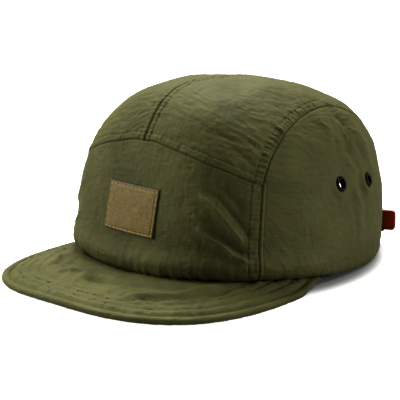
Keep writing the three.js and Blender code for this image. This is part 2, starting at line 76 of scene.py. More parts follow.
camera_data = bpy.data.cameras.new("camera")
camera = bpy.data.objects.new("camera", camera_data)
bpy.context.scene.collection.objects.link(camera)
bpy.context.scene.camera = camera
look_back = Vector((
    math.sin(VIEW_TURN) * math.cos(VIEW_LIFT),
    -math.cos(VIEW_TURN) * math.cos(VIEW_LIFT),
    math.sin(VIEW_LIFT),
))
camera.location = (VIEW_TARGET + look_back * VIEW_DISTANCE) * MM
camera.rotation_mode = "QUATERNION"
camera.rotation_quaternion = (-look_back).to_track_quat("-Z", "Y")
camera_data.sensor_width = 36
camera_data.lens = LENS_PIXELS / PICTURE * camera_data.sensor_width
camera_data.shift_x = (PICTURE / 2 - CENTRE_PIXEL[0]) / PICTURE
camera_data.shift_y = (CENTRE_PIXEL[1] - PICTURE / 2) / PICTURE
camera_data.clip_start = 0.05
print("camera: lens", round(camera_data.lens, 1), "mm")

# %% [markdown]
# ## The crown's skin
# A cap crown is a soft dome, squarer than a ball. Each point of it is kept as a point of a flat
# disk: the angle is the turn round from the front, and the distance from the middle is the
# reach, 0 at the top and 1 at the rim. Five upright sections say how square the dome is, how
# far it leans in, and how high the rim hangs. The same rule drew the solids, so the dressed
# panels land exactly on them.

# %% Crown formula
CAP_SHIFT = np.array([0, 26.667, 0])  # from the head opening's centre to the cap's centre
HALF_LENGTH = 97.9
HALF_WIDTH = 88
CROWN_HEIGHT = 115.6
TOP_FORWARD = 6.6
CORNER_FULLNESS = 0.064
SECTION_STEP = math.radians(45)
SECTIONS = {
    "squareness": [4.19, 2.87, 3.0, 2.56, 2.68],
    "lean": [0.268, 0.089, 0.022, -0.125, 0.034],
    "rim": [10.4, 11.2, 3.5, 0.8, -2.6],
}
FRONT_EDGE = {"tuck": 1.9, "tuck_height": 4, "bulge": 2.3}
BACK_EDGE = {"tuck": 0.9, "tuck_height": 3.5, "bulge": 0.2}
BULGE_LEVEL = 8


def smoothstep(value, low, high):
    t = np.clip((value - low) / (high - low), 0, 1)
    return t * t * (3 - 2 * t)


def section(column, turn):
    rows = SECTIONS[column]
    last = len(rows) - 1
    value = np.zeros_like(turn)
    for wave in range(last + 1):
        share = sum(
            (0.5 if k in (0, last) else 1) * rows[k] * math.cos(wave * k * SECTION_STEP)
            for k in range(last + 1)
        )
        outer = 0.5 if wave in (0, last) else 1
        value = value + outer * share * np.cos(wave * turn) * 2 / last
    return value


def tuck(turn, above_rim):
    back = smoothstep(np.abs(np.degrees(turn)), 66, 88)
    part = {name: FRONT_EDGE[name] * (1 - back) + BACK_EDGE[name] * back for name in FRONT_EDGE}
    under = np.clip(1 - above_rim / part["tuck_height"], 0, 1)
    fullness = np.exp(-((above_rim / BULGE_LEVEL - 1) ** 2) * 2)
    return part["tuck"] * under**2 - part["bulge"] * fullness


def crown_point(place):
    """Points of the smooth crown, in millimetres, for disk places of shape (..., 2)."""
    turn = np.arctan2(place[..., 0], -place[..., 1])
    reach = np.clip(np.linalg.norm(place, axis=-1), 1e-6, 1)
    fall = reach * np.pi / 2
    power = section("squareness", turn)
    drop = np.maximum(np.cos(fall), 0)
    norm = (np.sin(fall) ** power + drop**power) ** (1 / power)
    out, high = np.sin(fall) / norm, drop / norm
    rim = np.maximum(0, section("rim", turn))
    above = (CROWN_HEIGHT - rim) * high
    full = 1 + CORNER_FULLNESS * np.sin(2 * turn) ** 2
    size = full * out * (1 - section("lean", turn) * high) - tuck(turn, above) / HALF_WIDTH
    return np.stack([
        HALF_WIDTH * np.sin(turn) * size,
        -HALF_LENGTH * np.cos(turn) * size - TOP_FORWARD * high,
        rim + above,
    ], axis=-1)


def unit(vectors):
    return vectors / np.maximum(np.linalg.norm(vectors, axis=-1, keepdims=True), 1e-12)


def crown_normal(place):
    step = 0.004
    reach = np.maximum(np.linalg.norm(place, axis=-1, keepdims=True), 1e-9)
    inside = place * np.minimum(1, (1 - 1.5 * step) / reach)
    across, along = np.array([step, 0]), np.array([0, step])
    d_across = crown_point(inside + across) - crown_point(inside - across)
    d_along = crown_point(inside + along) - crown_point(inside - along)
    return unit(np.cross(d_across, d_along))


def disk_point(turn_degrees, reach):
    turn = np.radians(turn_degrees)
    return np.stack([reach * np.sin(turn), -reach * np.cos(turn)], axis=-1)


top_of_crown = crown_point(np.array([[0.0, 0.0]]))[0]
print("crown: top at", np.round(top_of_crown + CAP_SHIFT, 1), "mm")

# %% [markdown]
# ## Seams
# Five panels meet along six seams. Each seam is a smooth curve through a few places of the
# disk. It serves twice: as the border of the panels, and as a line to measure from, because
# every ditch, pucker and stitch row keeps its distance to a seam.

# %% Seam curves
FRONT_TOP_SEAM = [
    (0, 0.592), (16, 0.6), (27.3, 0.614), (35.8, 0.632), (42.8, 0.65), (48.5, 0.67), (54.5, 0.69),
]
FRONT_SIDE_SEAM = [(51, 1), (51.5, 0.894), (52.6, 0.8), (54.5, 0.69)]
SHOULDER_FRONT = [
    (54.5, 0.69), (59.3, 0.608), (69.5, 0.524), (86.5, 0.464), (101.3, 0.44), (109.7, 0.428),
]
SHOULDER_BACK = [(109.7, 0.428), (131, 0.56), (143, 0.77), (150, 1)]


def smooth_curve(rows, mirror=1):
    """The same centripetal curve that the solids use, as a function of shares from 0 to 1."""
    knots = np.array([disk_point(mirror * turn, reach) for turn, reach in rows])
    knots = np.vstack([2 * knots[0] - knots[1], knots, 2 * knots[-1] - knots[-2]])
    points = []
    for k in range(1, len(knots) - 2):
        p0, p1, p2, p3 = knots[k - 1:k + 3]
        g0, g1, g2 = (np.linalg.norm(b - a) ** 0.5 for a, b in ((p0, p1), (p1, p2), (p2, p3)))
        t1 = ((p1 - p0) / g0 - (p2 - p0) / (g0 + g1) + (p2 - p1) / g1) * g1
        t2 = ((p2 - p1) / g1 - (p3 - p1) / (g1 + g2) + (p3 - p2) / g2) * g1
        t = np.linspace(0, 1, 80)[:, None]
        points.append(
            p1 + t1 * t + (3 * (p2 - p1) - 2 * t1 - t2) * t**2 + (2 * (p1 - p2) + t1 + t2) * t**3
        )
    line = np.vstack(points)
    run = np.concatenate([[0], np.cumsum(np.linalg.norm(np.diff(line, axis=0), axis=1))])
    return lambda share: np.stack(
        [np.interp(share * run[-1], run, line[:, k]) for k in (0, 1)], axis=-1
    )


def centre_line(share):
    reach = FRONT_TOP_SEAM[0][1]
    return np.stack([np.zeros_like(share), -reach + share * (1 + reach)], axis=-1)


def measured(curves):
    """One seam as a line on the crown: points, run along it in mm, and the disk places."""
    shares = np.linspace(0, 1, 420)
    places = np.vstack([curve(shares) for curve in curves])
    points = crown_point(places)
    run = np.concatenate([[0], np.cumsum(np.linalg.norm(np.diff(points, axis=0), axis=1))])
    even = np.linspace(0, run[-1], int(run[-1] / 0.5) + 1)
    places = np.stack([np.interp(even, run, places[:, k]) for k in (0, 1)], axis=-1)
    return {"places": places, "points": crown_point(places), "run": even}


seams = {"centre": measured([centre_line])}
for side, mirror in (("left", 1), ("right", -1)):
    seams[f"front_top_{side}"] = measured([smooth_curve(FRONT_TOP_SEAM, mirror)])
    seams[f"front_side_{side}"] = measured([smooth_curve(FRONT_SIDE_SEAM, mirror)])
    seams[f"shoulder_{side}"] = measured(
        [smooth_curve(SHOULDER_FRONT, mirror), smooth_curve(SHOULDER_BACK, mirror)]
    )
print("seams:", {name: round(float(seam["run"][-1])) for name, seam in seams.items()}, "mm")

# %% [markdown]
# ## Folds, puckers and crinkle
# Thin nylon never lies smooth. Three things break it up, each with its own size: long folds
# where the shape pulls, puckers across a seam where the sewing thread draws the cloth
# together, and an all-over crinkle pressed into the cloth. Simulating this would hide the
# places of the folds from us, so they are written down as lines, and the irregular part comes
# from seeded random waves.

# %% Random waves with a fixed seed
WAVE_TABLE = np.random.default_rng(5).uniform(-1, 1, 4096)


def waves(u, v, seed):
    """Smooth random relief between about -1 and 1, one bump or so for each unit of u and v."""
    i, j = np.floor(u).astype(int), np.floor(v).astype(int)
    fu, fv = u - i, v - j
    fu, fv = fu * fu * (3 - 2 * fu), fv * fv * (3 - 2 * fv)

    def corner(di, dj):
        return WAVE_TABLE[((i + di) * 157 + (j + dj) * 1013 + seed * 677) % 4096]

    low = corner(0, 0) * (1 - fu) + corner(1, 0) * fu
    high = corner(0, 1) * (1 - fu) + corner(1, 1) * fu
    return low * (1 - fv) + high * fv


def creases(u, v, seed):
    """Thin crests that wander and meet, like the creases of washed nylon, around zero."""
    bent_u = u + 0.9 * waves(u / 2.6, v / 2.6, seed + 11)
    bent_v = v + 0.9 * waves(u / 2.6, v / 2.6, seed + 12)
    crest = np.hypot(waves(bent_u, bent_v, seed), 0.06)
    return 0.35 - crest


print("waves: table of", len(WAVE_TABLE))

# %% [markdown]
# The broad folds are the ones the solids have too, shallower at the front, where a crisp fold
# takes over from them. The crisp ones are finer creases with a narrow crest, and some have a
# trough beside the crest. Most are on the front panel beside the wearer's left temple, or fan
# out from the shoulder seam above the eyelets. A crisp fold rises from nothing at its start.

# %% Folds as lines on the crown
BROAD_FOLDS = [  # from, to, width, height, in mm
    ((49, -83, 56), (66, -72, 31), 2.8, 0.4),
    ((47, -86, 39), (66, -73, 21), 2.8, 0.4),
    ((49, -78, 69), (61, -72, 53), 4, -0.8),
    ((52, -82, 45), (65, -74, 26), 3.4, -0.6),
    ((64, 17, 99), (80, 14, 76), 4, -1.4),
    ((80, 14, 76), (88, 26, 28), 5, -1.2),
    ((70, 2, 93), (84, -4, 68), 5, 0.8),
    ((70, 28, 92), (84, 34, 66), 6, 1),
    ((-64, 17, 99), (-80, 14, 76), 4, -1.4),
    ((-80, 14, 76), (-88, 26, 28), 5, -1),
    ((-70, 28, 92), (-84, 34, 66), 6, 0.8),
    ((20, -30, 112), (50, 5, 108), 9, 0.9),
    ((38, 10, 112), (51, 22, 107), 13, -1.8),
    ((57, 43, 96), (69, 55, 77), 12, 1.4),
    ((-57, 43, 96), (-69, 55, 77), 12, 1.2),
]
CRISP_FOLDS = [  # path, width, height
    ([(43, -84, 60), (50, -82, 56), (57, -79, 48), (66, -74, 35)], 0.9, 2.4),
    ([(47, -82, 63), (54, -79, 58), (61, -75, 49), (69, -70, 38)], 1.2, -1.3),
    ([(44, -88, 42), (52, -85, 36), (59, -79, 31), (64, -77, 26), (69, -73, 23)], 0.9, 2.6),
    ([(48, -86, 44), (56, -82, 38), (62, -77, 33), (67, -74, 28)], 1.2, -1.3),
    ([(42, -86, 48), (49, -84, 43)], 1.2, 1.1),
    ([(41, -89, 34), (46, -87, 31)], 1.1, 0.8),
    ([(55, -74, 64), (58, -73, 59), (62, -70, 53)], 1.6, -1.4),
    ([(75, -56, 42), (78, -50, 38)], 0.9, 0.4),
    ([(78, -53, 28), (81, -49, 24)], 0.9, 0.5),
    ([(83, -33, 38), (84, -32, 33)], 0.9, -0.4),
    ([(69, 16, 92), (73, 15, 86), (76, 16, 81)], 1.5, 1.1),
    ([(75, 22, 86), (77, 28, 84)], 1.5, 0.9),
    ([(81, 8, 70), (83, 16, 62)], 1.6, 1.1),
    ([(85, 9, 52), (85, 23, 38)], 1.8, 1),
    ([(69, -3, 93), (73, 1, 88)], 1.8, 0.8),
    ([(67, 17, 95), (72, 19, 89)], 1.6, -1),
    ([(76, 6, 83), (81, -3, 71)], 3.4, -0.8),
    ([(77, 21, 81), (83, 29, 67)], 3, -0.8),
    ([(83, 4, 61), (86, 8, 46), (87, 14, 26)], 3, -0.7),
    ([(39, -55, 102), (40, -37, 107), (39, -16, 112)], 6, 0.9),
    ([(57, -63, 80), (63, -59, 74)], 1.2, -0.7),
    ([(52, -66, 84), (56, -63, 81)], 1.1, -0.6),
    ([(56, -56, 87), (62, -53, 82)], 1.2, -0.6),
    ([(43, -67, 91), (51, -63, 87)], 1.2, -0.6),
    ([(-46, -84, 58), (-54, -80, 50), (-62, -76, 40)], 1.3, 1),
    ([(-48, -86, 38), (-57, -80, 30), (-67, -74, 25)], 1.3, 1.1),
    ([(-69, 18, 92), (-75, 13, 84), (-77, 18, 78)], 1.6, 0.9),
    ([(-80, 10, 71), (-84, 20, 58)], 1.7, 0.9),
    ([(-78, 24, 80), (-83, 31, 66)], 3, -0.7),
    ([(30, 60, 100), (44, 76, 78)], 2.4, 0.7),
    ([(-26, 62, 100), (-40, 80, 74)], 2.4, 0.7),
]


def off_line(points, start, end):
    start, end = np.array(start, float), np.array(end, float)
    along = end - start
    share = np.clip(((points - start) @ along) / (along @ along), 0, 1)
    return np.linalg.norm(points - start - share[..., None] * along, axis=-1)


def off_path(points, path):
    return np.min([off_line(points, *ends) for ends in zip(path, path[1:])], axis=0)


turns, reaches = np.meshgrid(np.arange(-180, 180, 0.5), np.linspace(0.2, 1, 260), indexing="ij")
SKIN = crown_point(disk_point(turns, reaches)).reshape(-1, 3)


def on_skin(path):
    """A path's places moved to the nearest places of the smooth crown."""
    return [SKIN[((SKIN - place) ** 2).sum(axis=1).argmin()] for place in np.array(path, float)]


def broad_relief(points):
    relief = np.zeros(points.shape[:-1])
    for start, end, width, height in BROAD_FOLDS:
        relief += height * np.exp(-((off_line(points, start, end) / width) ** 2))
    return relief


def crisp_relief(points):
    relief = np.zeros(points.shape[:-1])
    for path, width, height in CRISP_FOLDS:
        snapped = on_skin(path)
        away = np.hypot(off_path(points, snapped), 0.4 * width) - 0.4 * width
        start = np.linalg.norm(points - snapped[0], axis=-1)
        rise = smoothstep(start, 0, 0.25 * np.linalg.norm(snapped[-1] - snapped[0]))
        relief += height * rise * np.exp(-away / width)
    return relief


print("folds:", len(BROAD_FOLDS), "broad and", len(CRISP_FOLDS), "crisp")

# %% [markdown]
# Beside a seam the cloth dives into a ditch. On the side where the seam allowance is pressed
# and topstitched it stands up a little as far as the stitch row, and thread tension puckers it
# across. The table says, for each seam and panel, how far out the row runs and how strong the
# puckers are.

# %% Relief beside the seams
DITCH = 0.65
SEAM_FINISH = {
    ("front_top", "top"): {"row": 4.4, "pucker": 1.2},
    ("front_top", "front"): {"row": None, "pucker": 0.5},
    ("front_side", "front"): {"row": 6.2, "pucker": 1.7},
    ("front_side", "side"): {"row": 2.5, "pucker": 0.5},
    ("shoulder", "top"): {"row": 5.5, "pucker": 2.4},
    ("shoulder", "side"): {"row": None, "pucker": 0.6},
    ("centre", "top"): {"row": 4.2, "pucker": 1.3},
}
PUCKER_SPACING = 2.9  # from one ridge to the next, in mm
ALLOWANCE_LIFT = 0.24  # how far the pressed seam allowance stands up, in mm
ROW_GROOVE = 0.45  # how deep a stitch row pulls the cloth in, in mm


def from_seam(points, seam):
    """Distance of each point from a seam, and how far along the seam it lies."""
    flat = points.reshape(-1, 3)
    away, run = np.empty(len(flat)), np.empty(len(flat))
    line = seam["points"]
    for first in range(0, len(flat), 4000):
        part = flat[first:first + 4000]
        gap = ((part[:, None, :] - line[None, :, :]) ** 2).sum(-1)
        nearest = gap.argmin(1)
        near = np.clip(nearest, 1, len(line) - 2)
        tangent = unit(line[near + 1] - line[near - 1])
        shift = ((part - line[nearest]) * tangent).sum(1)
        shift = np.where((nearest > 0) & (nearest < len(line) - 1), np.clip(shift, -0.3, 0.3), 0)
        away[first:first + 4000] = np.linalg.norm(
            part - line[nearest] - shift[:, None] * tangent, axis=1
        )
        run[first:first + 4000] = seam["run"][nearest] + shift
    return away.reshape(points.shape[:-1]), run.reshape(points.shape[:-1])


def seam_relief(points, seam_name, panel_kind):
    kind = seam_name.rsplit("_", 1)[0] if seam_name != "centre" else "centre"
    finish = SEAM_FINISH[kind, panel_kind]
    away, run = from_seam(points, seams[seam_name])
    seed = sorted(seams).index(seam_name) * 7 + len(panel_kind)
    relief = -DITCH * np.exp(-((away / 0.5) ** 2))
    reach = finish["row"] or 2
    lift = smoothstep(away, 0.2, 1.0) * (1 - smoothstep(away, reach - 0.1, reach + 0.9))
    relief += (ALLOWANCE_LIFT if finish["row"] else ALLOWANCE_LIFT / 3) * lift
    if finish["row"]:
        relief -= ROW_GROOVE * np.exp(-(((away - finish["row"]) / 0.55) ** 2))
    strength = 0.55 + 0.45 * waves(run / 9, 0 * run + 0.5, seed + 1)
    if kind == "shoulder":
        strength = strength * (1 - 0.55 * smoothstep(run, 35, 85))
    drift = run + 1.6 * waves(run / 6, 0 * run + 0.5, seed + 2)
    drift = drift + 0.2 * away * waves(run / 9, 0 * run + 0.5, seed + 4)
    comb = 0.7 * np.cos(2 * np.pi * drift / PUCKER_SPACING)
    comb = comb + 0.8 * waves(drift / 1.7, away / 7, seed + 5)
    far = waves(drift / PUCKER_SPACING, away / 10, seed + 3)
    near_window = smoothstep(away, 0.2, 1.2) * (1 - smoothstep(away, reach - 0.3, reach + 1.8))
    far_window = smoothstep(away, 0.6, 3) * np.exp(-((away / (reach + 4)) ** 2))
    relief += finish["pucker"] * strength * (0.34 * comb * near_window + 0.4 * far * far_window)
    return relief


print("seam finishes:", len(SEAM_FINISH))

# %% [markdown]
# The back opens in an arch, and its edge is hemmed: the cloth is turned in, so it stands a
# little thicker as far as one row of stitches.

# %% Relief beside the arch
ARCH = {"half_width": 31, "shoulder": 16, "top": 46}
HEM = 6


def arch_outline(offset=0, steps=28):
    """The arch in x and z, and offset millimetres outside it."""
    half, rise = ARCH["half_width"] + offset, ARCH["top"] - ARCH["shoulder"] + offset
    angle = np.linspace(0, np.pi, steps)
    curve = np.stack([half * np.cos(angle), ARCH["shoulder"] + rise * np.sin(angle)], axis=1)
    legs = np.linspace(0, ARCH["shoulder"], 6)[:-1]
    right = np.stack([np.full(5, half), legs], axis=1)
    left = np.stack([np.full(5, -half), legs[::-1]], axis=1)
    return np.vstack([right, curve, left])


def hem_relief(points):
    at_back = points[..., 1] > 40
    away = off_path(points[..., [0, 2]], arch_outline())
    band = 1 - smoothstep(away, HEM - 0.2, HEM + 1)
    groove = np.exp(-(((away - HEM) / 0.6) ** 2))
    ripple = waves(points[..., 0] / 2.4, points[..., 2] / 2.4, 55) * np.exp(-((away / 9) ** 2))
    return np.where(at_back, 0.3 * band - 0.4 * groove + 0.25 * ripple, 0)


print("arch:", 2 * ARCH["half_width"], "mm wide and", ARCH["top"], "mm high")

# %% [markdown]
# ## Pieces from grids
# A panel is a grid of points laid out between its four borders, once for the outside and once
# for the lining, closed along the edges. Writing the points ourselves keeps the wall even and
# the mesh closed, which a Solidify modifier doesn't promise where the puckers are sharp. The
# run along the cloth is kept as a UV map in millimetres, so that the weave follows the panel.

# %% Grid helpers
def between(edges, u, v):
    """Disk places inside four border curves."""
    bottom, top = edges["bottom"](u), edges["top"](u)
    left, right = edges["left"](v), edges["right"](v)
    uu, vv = u[:, None, None], v[None, :, None]
    place = bottom[:, None] * (1 - vv) + top[:, None] * vv
    place = place + left[None] * (1 - uu) + right[None] * uu
    place = place - bottom[0] * (1 - uu) * (1 - vv) - bottom[-1] * uu * (1 - vv)
    place = place - top[0] * (1 - uu) * vv - top[-1] * uu * vv
    return place / np.maximum(np.linalg.norm(place, axis=-1, keepdims=True), 1)


def grid_faces(columns, rows, first=0, flip=False):
    i, j = np.meshgrid(np.arange(columns - 1), np.arange(rows - 1), indexing="ij")
    a = first + (i * rows + j).ravel()
    faces = np.stack([a, a + rows, a + rows + 1, a + 1], axis=1)
    return faces[:, ::-1] if flip else faces


def closed_shell(outer, inner):
    """Points and faces of one closed body between an outer and an inner grid."""
    columns, rows = outer.shape[:2]
    count = columns * rows
    points = np.vstack([outer.reshape(-1, 3), inner.reshape(-1, 3)])
    i, j = np.arange(columns), np.arange(rows)
    ring = np.concatenate([
        i[:-1] * rows, (columns - 1) * rows + j[:-1], i[:0:-1] * rows + rows - 1, j[:0:-1],
    ])
    after = np.roll(ring, -1)
    rim = np.stack([ring, ring + count, after + count, after], axis=1)
    faces = np.vstack([
        grid_faces(columns, rows), grid_faces(columns, rows, count, flip=True), rim,
    ])
    a, b, c, d = (points[faces[:, k]] for k in range(4))
    volume = (a * (np.cross(b, c) + np.cross(c, d))).sum()
    return points, faces if volume > 0 else faces[:, ::-1]


def runs(grid):
    """The run along a grid's columns and rows in mm, as a flat map of the cloth."""
    du = np.linalg.norm(np.diff(grid, axis=0), axis=-1)
    dv = np.linalg.norm(np.diff(grid, axis=1), axis=-1)
    u = np.concatenate([np.zeros((1, grid.shape[1])), np.cumsum(du, axis=0)])
    v = np.concatenate([np.zeros((grid.shape[0], 1)), np.cumsum(dv, axis=1)], axis=1)
    return np.stack([u - u[-1:] / 2, v], axis=-1)


def new_object(name, points, faces, uv=None):
    """A mesh object at the origin from points in mm, measured from the head opening's centre."""
    mesh = bpy.data.meshes.new(name)
    mesh.from_pydata(((points + CAP_SHIFT) * MM).tolist(), [], faces.tolist())
    if uv is not None:
        layer = mesh.uv_layers.new(name="cloth_run")
        corners = np.array([loop.vertex_index for loop in mesh.loops])
        layer.data.foreach_set("uv", (uv.reshape(-1, 2)[corners] * MM).astype(np.float32).ravel())
    obj = bpy.data.objects.new(name, mesh)
    bpy.context.scene.collection.objects.link(obj)
    return obj


def facing_out(obj):
    mesh = obj.data
    mesh.calc_loop_triangles()
    corners = np.array([v.co for v in mesh.vertices])
    tri = np.array([t.vertices for t in mesh.loop_triangles])
    a, b, c = (corners[tri[:, k]] for k in range(3))
    if (a * np.cross(b, c)).sum() < 0:
        mesh.flip_normals()
    return obj


def smooth_shaded(obj, angle=50):
    obj.data.shade_smooth()
    obj.data.set_sharp_from_angle(angle=math.radians(angle))
    return obj


def baked(obj):
    """Turns what the modifiers make into the object's own plain mesh."""
    evaluated = obj.evaluated_get(bpy.context.evaluated_depsgraph_get())
    mesh = bpy.data.meshes.new_from_object(evaluated)
    obj.modifiers.clear()
    obj.data = mesh
    return obj


def dress(obj, material, nodes):
    """Gives a finished piece its material, hangs it on the root body and hides the solids it stands
    for.
    """
    obj.data.materials.clear()
    obj.data.materials.append(material)
    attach(obj, "root")
    if nodes:
        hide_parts(*nodes)
    return obj


def triangles(obj):
    obj.data.calc_loop_triangles()
    return len(obj.data.loop_triangles)


print("helpers ready")

# %% [markdown]
# ## Materials
# Colours are typed as sRGB hex values, the way a paint program shows them, and turned to the
# linear numbers that light is computed in. One small function adds a node to a tree, for
# materials and for Geometry Nodes alike.

# %% Colour and node helpers
def linear(hex_colour):
    channels = [int(hex_colour[k:k + 2], 16) / 255 for k in (1, 3, 5)]
    return [c / 12.92 if c <= 0.04045 else ((c + 0.055) / 1.055) ** 2.4 for c in channels] + [1]


def put(tree, kind, inputs=None, **settings):
    """Adds a node. An input is a number, or the output socket that feeds it."""
    node = tree.nodes.new(kind)
    for name, value in settings.items():
        setattr(node, name, value)
    for socket, value in (inputs or {}).items():
        if isinstance(value, bpy.types.NodeSocket):
            tree.links.new(value, node.inputs[socket])
        else:
            node.inputs[socket].default_value = value
    return node


def new_material(name):
    material = bpy.data.materials.new(name)
    material.use_nodes = True
    shader = next(n for n in material.node_tree.nodes if n.type == "BSDF_PRINCIPLED")
    return material, material.node_tree, shader


print("olive in linear light:", np.round(linear("#5E5F36"), 4).tolist())

# %% [markdown]
# ### Crinkled nylon
# The cloth is a plain-woven nylon taslan, washed so that it crinkles: matt, with a faint sheen
# on the crests. The weave itself is about 0.3 mm and too fine for the picture, so it is drawn
# as streaks 1.3 mm apart along both thread directions, which give the slightly uneven colour.
# Dye takes a little greener in some places and browner in others.

# %% Nylon
def crinkled_nylon(name, dark, light, browner):
    material, tree, shader = new_material(name)
    run = put(tree, "ShaderNodeUVMap", uv_map="cloth_run").outputs["UV"]
    place = put(tree, "ShaderNodeTexCoord").outputs["Object"]

    def streaks(across_mm, along_mm, detail=2):
        scaled = put(tree, "ShaderNodeMapping", {
            "Vector": run, "Scale": (1000 / across_mm, 1000 / along_mm, 1),
        }).outputs["Vector"]
        return put(tree, "ShaderNodeTexNoise", {
            "Vector": scaled, "Scale": 1, "Detail": detail, "Roughness": 0.6,
        }).outputs["Fac"]

    warp = streaks(1.3, 19)
    weft = streaks(13, 1.3)
    cloud = put(tree, "ShaderNodeTexNoise", {
        "Vector": place, "Scale": 1000 / 26, "Detail": 3,
    }).outputs["Fac"]
    wrinkle = put(tree, "ShaderNodeTexNoise", {
        "Vector": place, "Scale": 1000 / 3.2, "Detail": 4, "Roughness": 0.62, "Distortion": 0.4,
    }).outputs["Fac"]
    threads = put(tree, "ShaderNodeMath", {0: warp, 1: weft}, operation="ADD").outputs[0]
    tone = put(tree, "ShaderNodeMath", {0: threads, 1: 0.5, 2: cloud}, operation="MULTIPLY_ADD")
    tone = put(tree, "ShaderNodeMapRange", {
        "Value": tone.outputs[0], "From Min": 0.75, "From Max": 1.3,
    }).outputs["Result"]
    even = put(tree, "ShaderNodeMix", {
        "Factor": tone, 6: linear(dark), 7: linear(light),
    }, data_type="RGBA").outputs[2]
    dye = put(tree, "ShaderNodeTexNoise", {
        "Vector": place, "Scale": 1000 / 11, "Detail": 2, "Roughness": 0.7,
    }).outputs["Fac"]
    dye = put(tree, "ShaderNodeMapRange", {
        "Value": dye, "From Min": 0.42, "From Max": 0.62, "To Max": 0.35,
    }).outputs["Result"]
    colour = put(tree, "ShaderNodeMix", {
        "Factor": dye, 6: even, 7: linear(browner),
    }, data_type="RGBA").outputs[2]
    coarse = put(tree, "ShaderNodeBump", {
        "Height": wrinkle, "Strength": 0.5, "Distance": 0.8 * MM,
    }).outputs["Normal"]
    fine = put(tree, "ShaderNodeBump", {
        "Height": threads, "Strength": 0.6, "Distance": 0.3 * MM, "Normal": coarse,
    }).outputs["Normal"]
    shader.inputs["Roughness"].default_value = 0.7
    shader.inputs["IOR"].default_value = 1.53
    shader.inputs["Specular IOR Level"].default_value = 0.22
    shader.inputs["Sheen Weight"].default_value = 0.03
    shader.inputs["Sheen Roughness"].default_value = 0.4
    shader.inputs["Sheen Tint"].default_value = linear("#B9B98A")
    tree.links.new(colour, shader.inputs["Base Color"])
    tree.links.new(fine, shader.inputs["Normal"])
    return material


nylon = crinkled_nylon("crinkled_nylon_taslan", "#4B4C28", "#606038", "#5F5831")
print("material:", nylon.name)

# %% [markdown]
# ### Thread, canvas, leather and blackened brass
# The stitches are spun polyester in the cloth's own shade. The patch is a stiff waxed canvas;
# a thin band along its edges and its underside are painted dark, as painted shade where the
# raised patch meets the cloth. The strap is vegetable-tanned leather dyed orange-red, with a fine
# grain; it is darker along its edges, and the crease just inside them is painted darker as
# painted shade. The eyelets and the strap sleeve are brass with a black oxide finish, which rubs
# a little brighter.

# %% Thread and canvas
def spun_thread(name, colour, roughness=0.7):
    material, tree, shader = new_material(name)
    place = put(tree, "ShaderNodeTexCoord").outputs["Object"]
    twist = put(tree, "ShaderNodeTexNoise", {"Vector": place, "Scale": 1000 / 0.5})
    shade = put(tree, "ShaderNodeMix", {
        "Factor": twist.outputs["Fac"],
        6: [c * 0.8 for c in linear(colour)[:3]] + [1],
        7: [c * 1.15 for c in linear(colour)[:3]] + [1],
    }, data_type="RGBA").outputs[2]
    tree.links.new(shade, shader.inputs["Base Color"])
    shader.inputs["Roughness"].default_value = roughness
    shader.inputs["IOR"].default_value = 1.54
    return material


def waxed_canvas(name, colour, worn, edge):
    material, tree, shader = new_material(name)
    run = put(tree, "ShaderNodeUVMap", uv_map="cloth_run").outputs["UV"]
    place = put(tree, "ShaderNodeTexCoord").outputs["Object"]
    weave = []
    for direction in ("X", "Y"):
        weave.append(put(tree, "ShaderNodeTexWave", {
            "Vector": run, "Scale": 1000 / 0.8 / 20 * math.pi, "Distortion": 1.2,
            "Detail": 1, "Detail Scale": 2,
        }, bands_direction=direction).outputs["Fac"])
    threads = put(tree, "ShaderNodeMath", {0: weave[0], 1: weave[1]}, operation="ADD").outputs[0]
    patchy = put(tree, "ShaderNodeTexNoise", {
        "Vector": place, "Scale": 1000 / 1.9, "Detail": 5, "Roughness": 0.75,
    }).outputs["Fac"]
    mottled = put(tree, "ShaderNodeMapRange", {
        "Value": patchy, "From Min": 0.3, "From Max": 0.7,
    }).outputs["Result"]
    body = put(tree, "ShaderNodeMix", {
        "Factor": mottled, 6: linear(colour), 7: linear(worn),
    }, data_type="RGBA").outputs[2]
    # Painted shade: the edge band and the underside are mixed towards the dark edge colour.
    painted_edge_shade = put(tree, "ShaderNodeAttribute", attribute_name="dark_edge_and_painted_shade").outputs["Fac"]
    shade = put(tree, "ShaderNodeMix", {
        "Factor": painted_edge_shade, 6: body, 7: linear(edge),
    }, data_type="RGBA").outputs[2]
    normal = put(tree, "ShaderNodeBump", {
        "Height": threads, "Strength": 0.25, "Distance": 0.12 * MM,
    }).outputs["Normal"]
    tree.links.new(shade, shader.inputs["Base Color"])
    tree.links.new(normal, shader.inputs["Normal"])
    shader.inputs["Roughness"].default_value = 0.6
    shader.inputs["IOR"].default_value = 1.5
    return material


olive_thread = spun_thread("olive_polyester_thread", "#454428")
gold_thread = spun_thread("pale_gold_polyester_thread", "#B7A470")
# The last colour is the painted shade along the patch's edges and on its underside.
canvas = waxed_canvas("waxed_tan_canvas", "#594B15", "#806C20", "#1C1408")
print("materials:", olive_thread.name, gold_thread.name, canvas.name)

